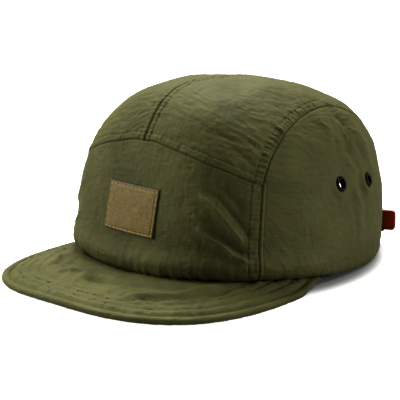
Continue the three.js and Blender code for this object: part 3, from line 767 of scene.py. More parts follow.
# %% Leather and blackened brass
def dyed_leather(name, colour, deep):
    material, tree, shader = new_material(name)
    place = put(tree, "ShaderNodeTexCoord").outputs["Object"]
    grain = put(tree, "ShaderNodeTexVoronoi", {
        "Vector": place, "Scale": 1000 / 0.9, "Randomness": 1,
    }, feature="DISTANCE_TO_EDGE").outputs["Distance"]
    clouds = put(tree, "ShaderNodeTexNoise", {
        "Vector": place, "Scale": 1000 / 7, "Detail": 4,
    }).outputs["Fac"]
    # The strap is darker along its edges, and the crease just inside them is painted darker as
    # painted shade.
    edge = put(tree, "ShaderNodeAttribute", attribute_name="dark_edge_and_painted_shade").outputs["Fac"]
    depth = put(tree, "ShaderNodeMath", {0: clouds, 1: 0.6, 2: edge}, operation="MULTIPLY_ADD")
    shade = put(tree, "ShaderNodeMix", {
        "Factor": depth.outputs[0], 6: linear(colour), 7: linear(deep),
    }, data_type="RGBA", clamp_factor=True).outputs[2]
    normal = put(tree, "ShaderNodeBump", {
        "Height": grain, "Strength": 0.35, "Distance": 0.25 * MM,
    }).outputs["Normal"]
    tree.links.new(shade, shader.inputs["Base Color"])
    tree.links.new(normal, shader.inputs["Normal"])
    shader.inputs["Roughness"].default_value = 0.48
    shader.inputs["IOR"].default_value = 1.5
    return material


def black_oxide_brass(name, colour, rubbed):
    material, tree, shader = new_material(name)
    place = put(tree, "ShaderNodeTexCoord").outputs["Object"]
    wear = put(tree, "ShaderNodeTexNoise", {
        "Vector": place, "Scale": 1000 / 1.4, "Detail": 4, "Roughness": 0.65,
    }).outputs["Fac"]
    shade = put(tree, "ShaderNodeMix", {
        "Factor": wear, 6: linear(colour), 7: linear(rubbed),
    }, data_type="RGBA").outputs[2]
    gloss = put(tree, "ShaderNodeMapRange", {
        "Value": wear, "To Min": 0.28, "To Max": 0.5,
    }).outputs["Result"]
    tree.links.new(shade, shader.inputs["Base Color"])
    tree.links.new(gloss, shader.inputs["Roughness"])
    shader.inputs["Metallic"].default_value = 1
    return material


leather = dyed_leather("orange_red_dyed_leather", "#E4511E", "#AE3711")
blackened = black_oxide_brass("black_oxide_brass", "#0E0E0D", "#232220")
print("materials:", leather.name, blackened.name)

# %% [markdown]
# ## The five panels
# Each panel's points are 0.6 to 0.9 mm apart, which is fine enough for a pucker. At a sewn
# border the cloth turns in for a last short step, as the real seam allowance does, so no light
# passes between two panels. The cloth gathers a little where it is sewn to the rim, most of all
# on the front panel, and lies flat under each eyelet, which clamps it.

# %% Panel builder
EYELETS = {"front": (91.3, 0.708), "rear": (108.8, 0.714)}
EYELET_TILT = 0.16  # the cloth under an eyelet faces a little more upwards
EYELET_SWING = 8  # and this many degrees more to the back
EYELET_HOLE = 3.1  # radius of the hole in the cloth, in mm
EYELET_CLAMP = (5, 10)  # the cloth is flat up to the first radius and free past the second
CRINKLE = {"front": (0.1, 0.04), "top": (0.04, 0.13), "side": (0.05, 0.06)}  # mm, up and round
CREASE = {"front": 0.3, "top": 0.38, "side": 0.32}  # mm
WALL = 1.4
TURN_IN = 1.3
RIM_GATHER = {"front": 0.6, "top": 0.2, "side": 0.15}  # mm
GATHER_SPACING = 2.6  # mm from one gather to the next
GATHER_HEIGHT = 9  # mm above the rim, where the gathers have mostly gone


def finer_at_ends(count):
    t = np.linspace(0, 1, count)
    return t - 0.5 * np.sin(2 * np.pi * t) / (2 * np.pi)


def eyelet_seat(side, row):
    """Where an eyelet sits: its centre on the cloth and the direction it faces."""
    turn, reach = EYELETS[row]
    place = disk_point(turn if side == "left" else -turn, reach)
    smooth = crown_point(place)
    centre = smooth + crown_normal(place) * float(broad_relief(smooth))
    outward = crown_normal(disk_point(turn + EYELET_SWING, reach))
    if side == "right":
        outward = outward * [-1, 1, 1]
    return centre, unit(outward + np.array([0, 0, EYELET_TILT]))


def crown_panel(name, kind, edges, counts, seam_names, on_rim):
    u, v = finer_at_ends(counts[0]), finer_at_ends(counts[1])
    place = between(edges, u, v)
    smooth = crown_point(place)
    normal = crown_normal(place)
    run = runs(smooth)
    relief = broad_relief(smooth) + crisp_relief(smooth)
    for seam_name in seam_names:
        relief += seam_relief(smooth, seam_name, kind)
    if kind == "top":
        relief += hem_relief(smooth)
    quiet = np.ones_like(relief)
    for seam_name in seam_names:
        quiet *= smoothstep(from_seam(smooth, seams[seam_name])[0], 0.3, 5)
    seed = len(name) * 3
    up, around = CRINKLE[kind]
    cloth_u = run[..., 0] + 1.3 * waves(run[..., 0] / 8, run[..., 1] / 7, seed + 7)
    cloth_v = run[..., 1] + 1.3 * waves(run[..., 0] / 7, run[..., 1] / 8, seed + 8)
    crinkle = up * waves(cloth_u / 1.8, cloth_v / 13, seed)
    crinkle += around * waves(cloth_u / 9, cloth_v / 2.1, seed + 1)
    crinkle += CREASE[kind] * creases(cloth_u / 4.6, cloth_v / 3.4, seed + 2)
    crinkle += 0.25 * waves(cloth_u / 21, cloth_v / 15, seed + 3)
    relief += crinkle * (0.25 + 0.75 * quiet)
    above = smooth[..., 2] - np.maximum(0, section(
        "rim", np.arctan2(place[..., 0], -place[..., 1])
    ))
    gather = waves(run[..., 0] / GATHER_SPACING, above / 14, seed + 5)
    relief += RIM_GATHER[kind] * gather * np.exp(-((above / GATHER_HEIGHT) ** 2)) * quiet
    outer = smooth + normal * relief[..., None]
    if kind == "side":
        for row in EYELETS:
            centre, facing = eyelet_seat(name.rsplit("_", 1)[1], row)
            off_plane = (outer - centre) @ facing
            near = 1 - smoothstep(np.linalg.norm(outer - centre, axis=-1), *EYELET_CLAMP)
            relief -= off_plane * near
        outer = smooth + normal * relief[..., None]
    level = unit(normal * [1, 1, 0])
    near_rim = (np.linalg.norm(place, axis=-1) > 0.9995)[..., None]
    inward = np.where(near_rim, level, normal)
    lining = np.minimum(0.5 * relief, relief) - WALL
    inner = smooth + normal * (lining + WALL)[..., None] - inward * WALL

    def with_turn_in(grid, depth):
        sunk = grid - normal * depth
        if on_rim != "bottom":
            grid = np.concatenate([sunk[:, :1], grid], axis=1)
            sunk = np.concatenate([sunk[:, :1], sunk], axis=1)
        if on_rim != "top":
            grid = np.concatenate([grid, sunk[:, -1:]], axis=1)
            sunk = np.concatenate([sunk, sunk[:, -1:]], axis=1)
        return np.concatenate([sunk[:1], grid, sunk[-1:]], axis=0)

    outer, inner = with_turn_in(outer, TURN_IN), with_turn_in(inner, TURN_IN)
    outer[..., 2] = np.maximum(outer[..., 2], 0)
    inner[..., 2] = np.maximum(inner[..., 2], 0)
    points, faces = closed_shell(outer, inner)
    cloth = runs(outer)
    obj = new_object(name, points, faces, np.stack([cloth, cloth]))
    print(f"{name}: {outer.shape[0]} x {outer.shape[1]} points, {triangles(obj)} triangles")
    return obj


def rim_arc(start, end):
    return lambda share: disk_point(start + (end - start) * share, np.ones_like(share))


# %% Front panel
right_half = smooth_curve(FRONT_TOP_SEAM, 1)
left_half = smooth_curve(FRONT_TOP_SEAM, -1)


def whole_front_top(share):
    first = left_half(np.clip(1 - 2 * share, 0, 1))
    second = right_half(np.clip(2 * share - 1, 0, 1))
    return np.where((share < 0.5)[:, None], first, second)


crown_front = crown_panel(
    "crown_front", "front",
    {
        "bottom": rim_arc(-51, 51), "top": whole_front_top,
        "left": smooth_curve(FRONT_SIDE_SEAM, -1), "right": smooth_curve(FRONT_SIDE_SEAM, 1),
    },
    (241, 121),
    ["front_top_left", "front_top_right", "front_side_left", "front_side_right"], "bottom",
)

# %% Top and side panels
top_panels, side_panels = {}, {}
for side, mirror in (("left", 1), ("right", -1)):
    shoulder_front = smooth_curve(SHOULDER_FRONT, mirror)
    shoulder_back = smooth_curve(SHOULDER_BACK, mirror)
    front_share = 0.46  # part of the panel's length beside the front stretch of the shoulder seam

    def shoulder(share):
        first = shoulder_front(np.clip(share / front_share, 0, 1))
        second = shoulder_back(np.clip((share - front_share) / (1 - front_share), 0, 1))
        return np.where((share < front_share)[:, None], first, second)

    top_panels[side] = crown_panel(
        f"crown_top_{side}", "top",
        {
            "bottom": smooth_curve(FRONT_TOP_SEAM, mirror),
            "top": rim_arc(mirror * 180, mirror * 150),
            "left": centre_line, "right": shoulder,
        },
        (111, 331), ["centre", f"front_top_{side}", f"shoulder_{side}"], "top",
    )
    side_panels[side] = crown_panel(
        f"crown_side_{side}", "side",
        {
            "bottom": rim_arc(mirror * 51, mirror * 150), "top": shoulder_front,
            "left": smooth_curve(FRONT_SIDE_SEAM, mirror),
            "right": lambda share: shoulder_back(1 - share),
        },
        (221, 139), [f"front_side_{side}", f"shoulder_{side}"], "bottom",
    )

# %% [markdown]
# The cuts come next: a round hole for each eyelet and the arch at the back, which lets the
# strap draw the cap in. Both are clean cuts through a closed wall, so a Boolean modifier does
# them, and its result is kept as a plain mesh.

# %% Cut the eyelet holes and the arch
def prism(outline, direction, centre, length):
    """A closed cutter: an outline in the plane square to direction, carried both ways."""
    axis = Vector(direction).normalized()
    turn = axis.to_track_quat("Y", "Z").to_matrix()
    rings = []
    for along in (-length, length):
        local = np.stack([outline[:, 0], np.full(len(outline), along), outline[:, 1]], axis=1)
        rings.append(local @ np.array(turn).T + np.array(centre))
    count = len(outline)
    k = np.arange(count)
    sides = np.stack([k, (k + 1) % count, (k + 1) % count + count, k + count], axis=1).tolist()
    mesh = bpy.data.meshes.new("cutter")
    points = ((np.vstack(rings) + CAP_SHIFT) * MM).tolist()
    mesh.from_pydata(points, [], sides + [k[::-1].tolist(), (k + count).tolist()])
    cutter = bpy.data.objects.new("cutter", mesh)
    bpy.context.scene.collection.objects.link(cutter)
    return cutter


def cut_away(obj, cutter):
    modifier = obj.modifiers.new("cut", "BOOLEAN")
    modifier.operation = "DIFFERENCE"
    modifier.solver = "EXACT"
    modifier.object = facing_out(cutter)
    baked(obj)
    bpy.data.objects.remove(cutter)


below = arch_outline()
below = np.vstack([[[ARCH["half_width"], -6]], below, [[-ARCH["half_width"], -6]]])
for side, mirror in (("left", 1), ("right", -1)):
    cut_away(top_panels[side], prism(below, (0, 1, 0), (0, HALF_LENGTH, 0), 60))
    for row in EYELETS:
        centre, facing = eyelet_seat(side, row)
        angle = np.linspace(0, 2 * np.pi, 33)[:-1]
        circle = EYELET_HOLE * np.stack([np.cos(angle), np.sin(angle)], axis=1)
        cut_away(side_panels[side], prism(circle, facing, centre, 9))
for obj in [crown_front, *top_panels.values(), *side_panels.values()]:
    smooth_shaded(obj, 60)
    print(obj.name, triangles(obj), "triangles")

# %% [markdown]
# Each panel is a sheet of cloth held stretched over the head form. It gets the nylon, and its
# outer area is printed in square metres.

# %% Dress the panels
def outer_area(obj):
    """Half the surface of a thin closed shell, in square metres."""
    return sum(polygon.area for polygon in obj.data.polygons) / 2


dress(crown_front, nylon, ["front_panel"])
print("crown_front", round(outer_area(crown_front), 5))
for side in ("left", "right"):
    dress(top_panels[side], nylon, [f"top_panel_{side}"])
    dress(side_panels[side], nylon, [f"side_panel_{side}"])
    print(side, round(outer_area(top_panels[side]), 5), round(outer_area(side_panels[side]), 5))

# %% [markdown]
# ## The peak
# The peak is a thin stiff board between two layers of the same nylon. Rows of stitches run
# round it about 5.6 mm apart, and between them the cloth puffs up and gathers. It is drawn from
# its root under the crown to the bound edge, and its last points reach in under that edge. The
# outer part lies nearly flat and the rise to the crown comes late, so the camber is turned down
# here from what the solid has.

# %% Peak surface
PEAK = {
    "half_width": 91, "reach": 104.1, "centre_y": -49.8, "squareness": 2.61,
    "edge_front": 8.8, "edge_side": 3.7, "edge_dip": 0.74,
    "thickness": 2.6, "camber": -0.2, "tongue": 5, "end_turn": 76, "end_sweep": 103,
    "tip_rise": 2.1, "tip_pull": 3, "tip_start": 90,
}
BINDING = {"width": 4.6, "height": 3.9, "tip_height": 1, "step": 0.3, "row": 3.7}
CLEARANCE = 0.32
PEAK_ROWS = [10.9, 16.6, 22.2]  # distance of each stitch row from the outer edge
RECESS = {"depth": 1.5, "width": 1.5}  # where the cloth dives in behind the bound edge
UNDER_ROLL = 1.2  # how far the cloth's last row reaches in under that edge
PUFF = 1.05  # how far the cloth stands up between two rows
PEAK_FOLDS = [  # path over the table, width, height
    ([(-45, -112), (-51, -102), (-50, -91)], 2.6, 2.4),
    ([(-36, -108), (-38, -96)], 4, -1.7),
    ([(-27, -121), (-18, -113), (-9, -107), (4, -98)], 2.6, 2.4),
    ([(-6, -117), (6, -115), (19, -112), (35, -105), (46, -98)], 3.6, -2.6),
    ([(33, -127), (40, -119), (52, -111), (54, -101), (58, -86)], 3, 2.5),
    ([(48, -124), (55, -119), (61, -110), (65, -101), (66, -84)], 2, -1.3),
    ([(-1, -101), (19, -97), (44, -90)], 3, 1.2),
]


def peak_edge(sweep):
    """The peak's outer edge at its top, for an angle round from the front in degrees."""
    angle = np.radians(sweep)
    s, c = np.sin(angle), np.cos(angle)
    power = PEAK["squareness"]
    norm = (np.abs(s) ** power + np.abs(c) ** power) ** (1 / power)
    tip = smoothstep(np.abs(sweep), PEAK["tip_start"], PEAK["end_sweep"])
    height = PEAK["edge_front"] * c**2 + PEAK["edge_side"] * s**2
    height = height - PEAK["edge_dip"] * np.sin(2 * angle) ** 2 + PEAK["tip_rise"] * tip
    return np.stack([
        (PEAK["half_width"] - PEAK["tip_pull"] * tip) * s / norm,
        PEAK["centre_y"] - PEAK["reach"] * c / norm,
        height,
    ], axis=-1)


def peak_inward(sweep):
    along = (peak_edge(sweep + 0.5) - peak_edge(sweep - 0.5)) * [1, 1, 0]
    return unit(np.cross([0, 0, 1], along))


def peak_surface(across, share):
    """The peak's smooth top: share 0 is under the crown's rim, 1 is beside the binding."""
    turn, sweep = across * PEAK["end_turn"], across * PEAK["end_sweep"]
    place = disk_point(turn, np.ones_like(turn))
    root = crown_point(place) - unit(crown_normal(place) * [1, 1, 0]) * PEAK["tongue"]
    root[..., 2] -= 3 * CLEARANCE
    edge = peak_edge(sweep) + peak_inward(sweep) * (BINDING["width"] + CLEARANCE)
    edge[..., 2] -= BINDING["step"]
    point = root + (edge - root) * share[..., None]
    wide = np.linalg.norm(edge - root, axis=-1) / (PEAK["reach"] + PEAK["centre_y"])
    point[..., 2] += PEAK["camber"] * np.minimum(1, wide**2) * 4 * share * (1 - share)
    middle = smoothstep(share, 0.15, 0.4) * (1 - smoothstep(share, 0.75, 0.95))
    for path, width, height in PEAK_FOLDS:
        away = off_path(point[..., :2], path)
        point[..., 2] += middle * height * np.exp(-((away / width) ** 2))
    return point


across, share = np.meshgrid(np.linspace(-1, 1, 301), np.linspace(0, 1, 71), indexing="ij")
peak_top = peak_surface(across, share)
rim_line = peak_edge(np.linspace(-104, 104, 900))
edge_seam = {
    "points": rim_line * [1, 1, 0],
    "run": np.concatenate([[0], np.cumsum(np.linalg.norm(np.diff(rim_line, axis=0), axis=1))]),
}
inset, edge_run = from_seam(peak_top * [1, 1, 0], edge_seam)
print("peak: board is", round(float(inset.max())), "mm deep at most")

# %% Peak cloth with its stitched rows
PEAK_CREASES = [  # path over the table, width, height
    ([(18, -133), (19, -116)], 1.4, 1),
    ([(26, -130), (29, -121)], 1.3, 1),
    ([(-31, -119), (-30, -112)], 1.3, 0.9),
    ([(-9, -130), (-14, -116)], 1.4, 0.9),
    ([(-17, -130), (-22, -118)], 1.4, 0.9),
    ([(4, -131), (-2, -117)], 2.2, -0.9),
    ([(36, -131), (41, -123)], 1.2, -0.8),
    ([(42, -130), (47, -122)], 1.2, -0.8),
    ([(-52, -104), (-44, -98)], 1.4, 0.8),
    ([(-40, -115), (-34, -104)], 1.4, 0.8),
]


def quilted(side_seed):
    borders = [BINDING["width"], *PEAK_ROWS]
    relief = np.zeros_like(inset)
    for number, (outer_row, inner_row) in enumerate(zip(borders, borders[1:])):
        way = np.clip((inset - outer_row) / (inner_row - outer_row), 0, 1)
        puffed = np.sin(np.pi * way) ** 0.6
        drift = edge_run + 1.2 * waves(edge_run / 5, 0 * inset + number, side_seed + 20)
        drift = drift + 0.5 * (inset - outer_row) * waves(edge_run / 8, 0 * inset, side_seed + 21)
        gathers = waves(drift / 1.9, inset / 4 + 3 * number, side_seed + number)
        tight = 0.5 + 0.5 * waves(edge_run / 17, 0 * inset + 0.5, side_seed + 30 + number)
        relief += puffed * (PUFF + (0.3 + 0.5 * tight) * gathers)
    inside = smoothstep(inset, PEAK_ROWS[-1], PEAK_ROWS[-1] + 4)
    relief += inside * PUFF
    x, y = peak_top[..., 0], peak_top[..., 1]
    relief += (0.15 + 0.25 * inside) * waves(x / 13, y / 9, side_seed + 9)
    relief += (0.15 + 0.45 * inside) * creases(x / 9, y / 7, side_seed + 10)
    for path, width, height in PEAK_CREASES:
        away = np.hypot(off_path(peak_top[..., :2], path), width) - width
        relief += height * np.exp(-away / width)
    return relief * smoothstep(share, 0, 0.12)


tip = smoothstep(np.abs(across) * PEAK["end_sweep"], PEAK["tip_start"], PEAK["end_sweep"])
board = PEAK["thickness"] * (1 - 0.55 * tip)
dive = RECESS["depth"] * np.exp(-(((inset - BINDING["width"]) / RECESS["width"]) ** 2))
upper_z = quilted(31) - dive * (1 - tip)
upper = peak_top + np.stack([0 * share, 0 * share, upper_z], axis=-1)
lower = peak_top - np.stack([0 * share, 0 * share, board + 0.4 * quilted(47)], axis=-1)
under_roll = peak_inward(across[:, -1] * PEAK["end_sweep"]) * UNDER_ROLL
upper[:, -1] -= under_roll
lower[:, -1] -= under_roll
points, faces = closed_shell(upper, lower)
cloth = runs(upper)
peak_cloth = smooth_shaded(new_object("peak_cloth", points, faces, np.stack([cloth, cloth])), 60)
dress(peak_cloth, nylon, ["peak"])
print(peak_cloth.name, triangles(peak_cloth), "triangles")

# %% [markdown]
# The edge of the peak is bound with a folded strip that makes a soft roll, sewn through close
# to its inner side. Its section is carried round the edge, with small irregular wrinkles where
# the strip is eased round the curve.

# %% Bound edge
def loft(sections):
    """Points and faces of a closed tube through rings of equal count, with flat ends."""
    rings, sides = sections.shape[:2]
    i, k = np.meshgrid(np.arange(rings - 1), np.arange(sides), indexing="ij")
    a, b = (i * sides + k).ravel(), (i * sides + (k + 1) % sides).ravel()
    faces = np.stack([a, a + sides, b + sides, b], axis=1).tolist()
    last = (rings - 1) * sides + np.arange(sides)
    faces += [np.arange(sides).tolist(), last[::-1].tolist()]
    return sections.reshape(-1, 3), faces


sweep = np.linspace(-PEAK["end_sweep"], PEAK["end_sweep"], 361)
edge_top = peak_edge(sweep)
inward = peak_inward(sweep)
tip = smoothstep(np.abs(sweep), PEAK["tip_start"], PEAK["end_sweep"])
roll_height = BINDING["height"] + (BINDING["tip_height"] - BINDING["height"]) * tip
run = np.concatenate([[0], np.cumsum(np.linalg.norm(np.diff(edge_top, axis=0), axis=1))])
ROLL_SIDES = 48
ROLL_GIRTH = 13  # mm of cloth round the roll
rings = []
for angle in np.linspace(-np.pi, np.pi, ROLL_SIDES + 1)[:-1]:
    c, s = math.cos(angle), math.sin(angle)
    wide = 0.5 * (1 - math.copysign(abs(c) ** 0.9, c))
    high = 0.5 * (1 - math.copysign(abs(s) ** 0.9, s))
    seam_line = 0.5 * math.exp(-(((angle + 0.3) / 0.2) ** 2))
    wrinkle = 0.12 * waves(run / 3.1, np.full_like(run, 1.5 * angle), 71)
    wrinkle = wrinkle + 0.1 * waves(run / 1.4, np.full_like(run, 2 * angle), 72)
    inset_here = BINDING["width"] * wide - (wrinkle - seam_line) * c
    drop = roll_height * high - wrinkle * s
    ring = edge_top + inward * inset_here[:, None]
    ring[:, 2] = np.maximum(0, ring[:, 2] - np.clip(drop, 0, roll_height))
    rings.append(ring)
points, faces = loft(np.stack(rings, axis=1))
around_roll = np.linspace(0, ROLL_GIRTH, ROLL_SIDES)
uv = np.stack(np.broadcast_arrays(run[:, None], around_roll[None, :]), axis=-1)
mesh_faces = np.array([f for f in faces if len(f) == 4])
peak_edge_roll = new_object("peak_bound_edge", points, mesh_faces, uv)
dress(smooth_shaded(facing_out(peak_edge_roll), 60), nylon, ["peak_binding"])
print(peak_edge_roll.name, triangles(peak_edge_roll), "triangles")

# %% [markdown]
# ## Patch
# A stiff rectangle of waxed canvas is sewn to the middle of the front panel. It is left bare.
# Its cut edges are thin. A narrow band along them is painted dark, as painted shade where the
# patch stands off the cloth, and a row of pale stitches runs just inside them.

# %% Patch on the front panel
PATCH = {
    "width": 39, "height": 28.2, "top_reach": 0.72, "bottom_reach": 0.872, "crooked": 0.038,
    "row": 1.7, "lift": 0.75, "crown": 0.47,
}


def front_place(x, reach):
    turn = x / HALF_WIDTH
    for _ in range(8):
        turn = turn + (x - crown_point(disk_point(np.degrees(turn), reach))[..., 0]) / HALF_WIDTH
    return disk_point(np.degrees(turn), reach)


def on_patch(u, v):
    """Disk places of the patch, which is sewn on a little crooked."""
    height = PATCH["height"]
    x, z = (u - 0.5) * PATCH["width"], (v - 0.5) * height
    x, z = x + z * PATCH["crooked"], z - x * PATCH["crooked"]
    reach_span = PATCH["top_reach"] - PATCH["bottom_reach"]
    return front_place(x, PATCH["bottom_reach"] + reach_span * (z / height + 0.5))


u, v = np.meshgrid(np.linspace(0, 1, 79), np.linspace(0, 1, 59), indexing="ij")
patch_place = on_patch(u, v)
patch_base = crown_point(patch_place)
patch_normal = crown_normal(patch_place)
patch_run = runs(patch_base)
high_side = patch_run[..., 1].max(axis=1, keepdims=True)
to_edge = np.minimum(
    PATCH["width"] / 2 - np.abs(patch_run[..., 0]),
    np.minimum(patch_run[..., 1], high_side - patch_run[..., 1]),
)
to_edge = np.maximum(to_edge, 0)
raised = PATCH["lift"] + PATCH["crown"] * (1 - np.exp(-to_edge / 0.35))
raised -= 0.3 * np.exp(-(((to_edge - PATCH["row"]) / 0.5) ** 2))
raised += 0.07 * waves(patch_run[..., 0] / 4, patch_run[..., 1] / 4, 81)
patch_outer = patch_base + patch_normal * raised[..., None]
patch_inner = patch_base - patch_normal * 0.2
points, faces = closed_shell(patch_outer, patch_inner)
front_patch = new_object("front_cloth_patch", points, faces, np.stack([patch_run, patch_run]))
# Painted shade: the outer face darkens within about half a millimetre of the edge, and the whole
# underside is dark.
dark_edge_and_painted_shade = front_patch.data.attributes.new("dark_edge_and_painted_shade", "FLOAT", "POINT")
dark = np.concatenate([np.exp(-((to_edge / 0.45) ** 2)).ravel(), np.ones(to_edge.size)])
dark_edge_and_painted_shade.data.foreach_set("value", dark.astype(np.float32))
dress(smooth_shaded(front_patch, 50), canvas, ["front_patch"])
print(front_patch.name, "is", round(float(high_side.max()), 1), "mm high")

# %% [markdown]
# ## Eyelets
# Four two-part metal eyelets air the crown. The outer part is a ring with a rolled face whose
# throat goes through the cloth, and the inner part is a flat washer. One profile, spun round
# the eyelet's own axis, makes both.

# %% Spin the eyelets
EYELET_PROFILE = [  # radius and height above the cloth, in mm
    (2.8, -2.2), (2.8, 0.5), (2.9, 0.9), (3.12, 1.12), (3.5, 1.2), (3.95, 1.1),
    (4.4, 0.8), (4.68, 0.4), (4.7, 0.1), (4.5, 0.0), (3.1, 0.0), (3.1, -1.5),
    (4.3, -1.5), (4.5, -1.7), (4.4, -1.95), (3.7, -2.2), (3.1, -2.35),
]


def spun(profile, centre, facing, steps=48):
    turn = np.array(Vector(facing).to_track_quat("Z", "Y").to_matrix())
    angle = np.linspace(0, 2 * np.pi, steps, endpoint=False)
    profile = np.array(profile)
    ring = np.stack([
        profile[None, :, 0] * np.cos(angle)[:, None],
        profile[None, :, 0] * np.sin(angle)[:, None],
        np.broadcast_to(profile[None, :, 1], (steps, len(profile))),
    ], axis=-1)
    points = (ring @ turn.T + centre).reshape(-1, 3)
    i, k = np.meshgrid(np.arange(steps), np.arange(len(profile)), indexing="ij")
    step, after = (i + 1) % steps, (k + 1) % len(profile)
    count = len(profile)
    faces = np.stack([i * count + k, step * count + k, step * count + after, i * count + after], -1)
    return points, faces.reshape(-1, 4)


for side in ("left", "right"):
    for row in EYELETS:
        points, faces = spun(EYELET_PROFILE, *eyelet_seat(side, row))
        eyelet = facing_out(new_object(f"eyelet_ring_{side}_{row}", points, faces))
        dress(smooth_shaded(eyelet, 40), blackened, [f"eyelet_{side}_{row}"])
print("eyelets: 4, each", triangles(eyelet), "triangles")

# %% [markdown]
# ## Strap and sleeve
# A leather strip crosses the arch. It is sewn down on the wearer's right, passes through a
# metal sleeve on the left, and its free end sticks up past the cap, where the camera sees it.
# It is drawn flat first, with rounded corners at the free end, and then carried along its run.

# %% Run of the strap
STRAP = {"width": 13.5, "thickness": 1.8, "clear_sewn": 0.4, "clear_free": 1.6, "height": 9.2}
FREE_END = {"length": 31, "slope": 0.19, "ramp": 44, "corner": 3.5}
SLEEVE = {"ahead": 8, "length": 12, "wall": 0.8, "clear": 0.35}


def place_at_height(turn, height):
    above, below_it = np.full_like(turn, 0.5), np.ones_like(turn)
    for _ in range(24):
        reach = (above + below_it) / 2
        higher = crown_point(disk_point(turn, reach))[..., 2] > height
        above, below_it = np.where(higher, reach, above), np.where(higher, below_it, reach)
    return disk_point(turn, above)


wrap = np.linspace(0, 1, 61)
turn = 223 + (147.5 - 223) * wrap
middle = crown_point(place_at_height(turn, STRAP["height"]))
outward = unit(crown_normal(disk_point(turn, np.full_like(turn, 0.95))) * [1, 1, 0])
proud = np.max([
    ((crown_point(place_at_height(turn, STRAP["height"] + part * STRAP["width"])) - middle)
     * outward).sum(-1) for part in (-0.5, 0, 0.5)
], axis=0)
stand = STRAP["clear_sewn"] + (STRAP["clear_free"] - STRAP["clear_sewn"]) * wrap
middle = middle + outward * (stand + STRAP["thickness"] / 2 + proud)[:, None]
leave, leave_out = middle[-1].copy(), outward[-1]
ahead = -np.cross([0, 0, 1], leave_out)
left_to_go = np.linalg.norm(np.diff(middle * [1, 1, 0], axis=0), axis=1)
left_to_go = np.concatenate([np.cumsum(left_to_go[::-1])[::-1], [0]])
rising = np.maximum(0, FREE_END["ramp"] - left_to_go)
middle[:, 2] = STRAP["height"] + FREE_END["slope"] * rising**2 / (2 * FREE_END["ramp"])
leave[2] = middle[-1, 2]
free = np.linspace(0, 1, 30)[1:, None]
ahead_up = ahead + np.array([0, 0, FREE_END["slope"]])
strap_line = np.vstack([middle, leave + ahead_up * free * FREE_END["length"]])
strap_out = np.vstack([outward, np.repeat(leave_out[None], 29, axis=0)])
strap_run = np.concatenate([[0], np.cumsum(np.linalg.norm(np.diff(strap_line, axis=0), axis=1))])
print("strap:", round(float(strap_run[-1])), "mm long")

# %% Leather strap
across = np.linspace(-0.5, 0.5, 25)
corner = FREE_END["corner"] / STRAP["width"]
past = np.clip((np.abs(across) - (0.5 - corner)) / corner, 0, 1)
end_at = strap_run[-1] - FREE_END["corner"] * (1 - np.sqrt(1 - past**2))
stations = np.linspace(0, 1, 240)
at = stations[:, None] * end_at[None, :]
centre = np.stack([np.interp(at, strap_run, strap_line[:, k]) for k in range(3)], axis=-1)
facing = unit(np.stack([np.interp(at, strap_run, strap_out[:, k]) for k in range(3)], axis=-1))
centre[..., 2] += (across * STRAP["width"])[None, :]
from_side = (0.5 - np.abs(across)) * STRAP["width"]
border = np.minimum(from_side[None, :] + 0 * at, end_at[None, :] - at)
half = STRAP["thickness"] / 2
rounded = 0.45 * np.exp(-border / 0.45)
crease = 0.22 * np.exp(-(((border - 1.6) / 0.35) ** 2))
face = half - rounded - crease + 0.05 * waves(at / 5, 0 * at + across * 5, 91)
strap_outer = centre + facing * face[..., None]
strap_inner = centre - facing * (half - rounded)[..., None]
points, faces = closed_shell(strap_outer, strap_inner)
back_strap = new_object("leather_back_strap", points, faces)
# Darker at the edges; the crease 1.6 mm in is painted dark as painted shade.
dark_edge_and_painted_shade = back_strap.data.attributes.new("dark_edge_and_painted_shade", "FLOAT", "POINT")
dark = np.exp(-border / 0.4) + 0.7 * np.exp(-(((border - 1.6) / 0.4) ** 2))
dark_edge_and_painted_shade.data.foreach_set("value", np.tile(np.clip(dark, 0, 1).ravel(), 2).astype(np.float32))
dress(smooth_shaded(back_strap, 50), leather, ["back_strap"])
print(back_strap.name, triangles(back_strap), "triangles")

# %% Metal sleeve
def rounded_frame(half_long, half_high, radius, steps=6):
    """A rounded rectangle, counterclockwise, as offsets."""
    points = []
    for quarter in range(4):
        sx, sz = ((1, 1), (-1, 1), (-1, -1), (1, -1))[quarter]
        for step in range(steps + 1):
            angle = math.pi / 2 * (quarter + step / steps)
            points.append((
                sx * (half_long - radius) + radius * math.cos(angle),
                sz * (half_high - radius) + radius * math.sin(angle),
            ))
    return np.array(points)


direction = unit(ahead_up)
sleeve_side = np.cross(direction, leave_out)
sleeve_centre = leave + direction * SLEEVE["ahead"]
bore = np.array([STRAP["thickness"], STRAP["width"]]) / 2 + SLEEVE["clear"]
body = bore + SLEEVE["wall"]
sections = []
for along, size, radius in (
    (-0.5, bore + 0.15, 0.5), (-0.5, body - 0.25, 1.0), (-0.47, body, 1.1), (0.47, body, 1.1),
    (0.5, body - 0.25, 1.0), (0.5, bore + 0.15, 0.5), (0.46, bore, 0.4), (-0.46, bore, 0.4),
):
    outline = rounded_frame(size[0], size[1], radius)
    sections.append(
        sleeve_centre + direction * along * SLEEVE["length"]
        + outline[:, :1] * leave_out + outline[:, 1:] * sleeve_side
    )
sections = np.stack(sections, axis=1)
rings, count = sections.shape[:2]
i, k = np.meshgrid(np.arange(rings), np.arange(count), indexing="ij")
a, b = (i + 1) % rings, (k + 1) % count
faces = np.stack([i * count + k, a * count + k, a * count + b, i * count + b], -1).reshape(-1, 4)
strap_sleeve = facing_out(new_object("strap_sleeve_ring", sections.reshape(-1, 3), faces))
dress(smooth_shaded(strap_sleeve, 40), blackened, ["strap_sleeve"])
print(strap_sleeve.name, triangles(strap_sleeve), "triangles")

# %% [markdown]
# ## Stitches
# A topstitch is a short slug of thread, a gap, and the next one. There are more than a
# thousand of them, all alike, so Geometry Nodes lay them: each row is a line of points with
# the cloth's own direction kept beside it, the tree spaces stitches along it, and each one is
# turned to follow the line and to lie flat on the cloth.

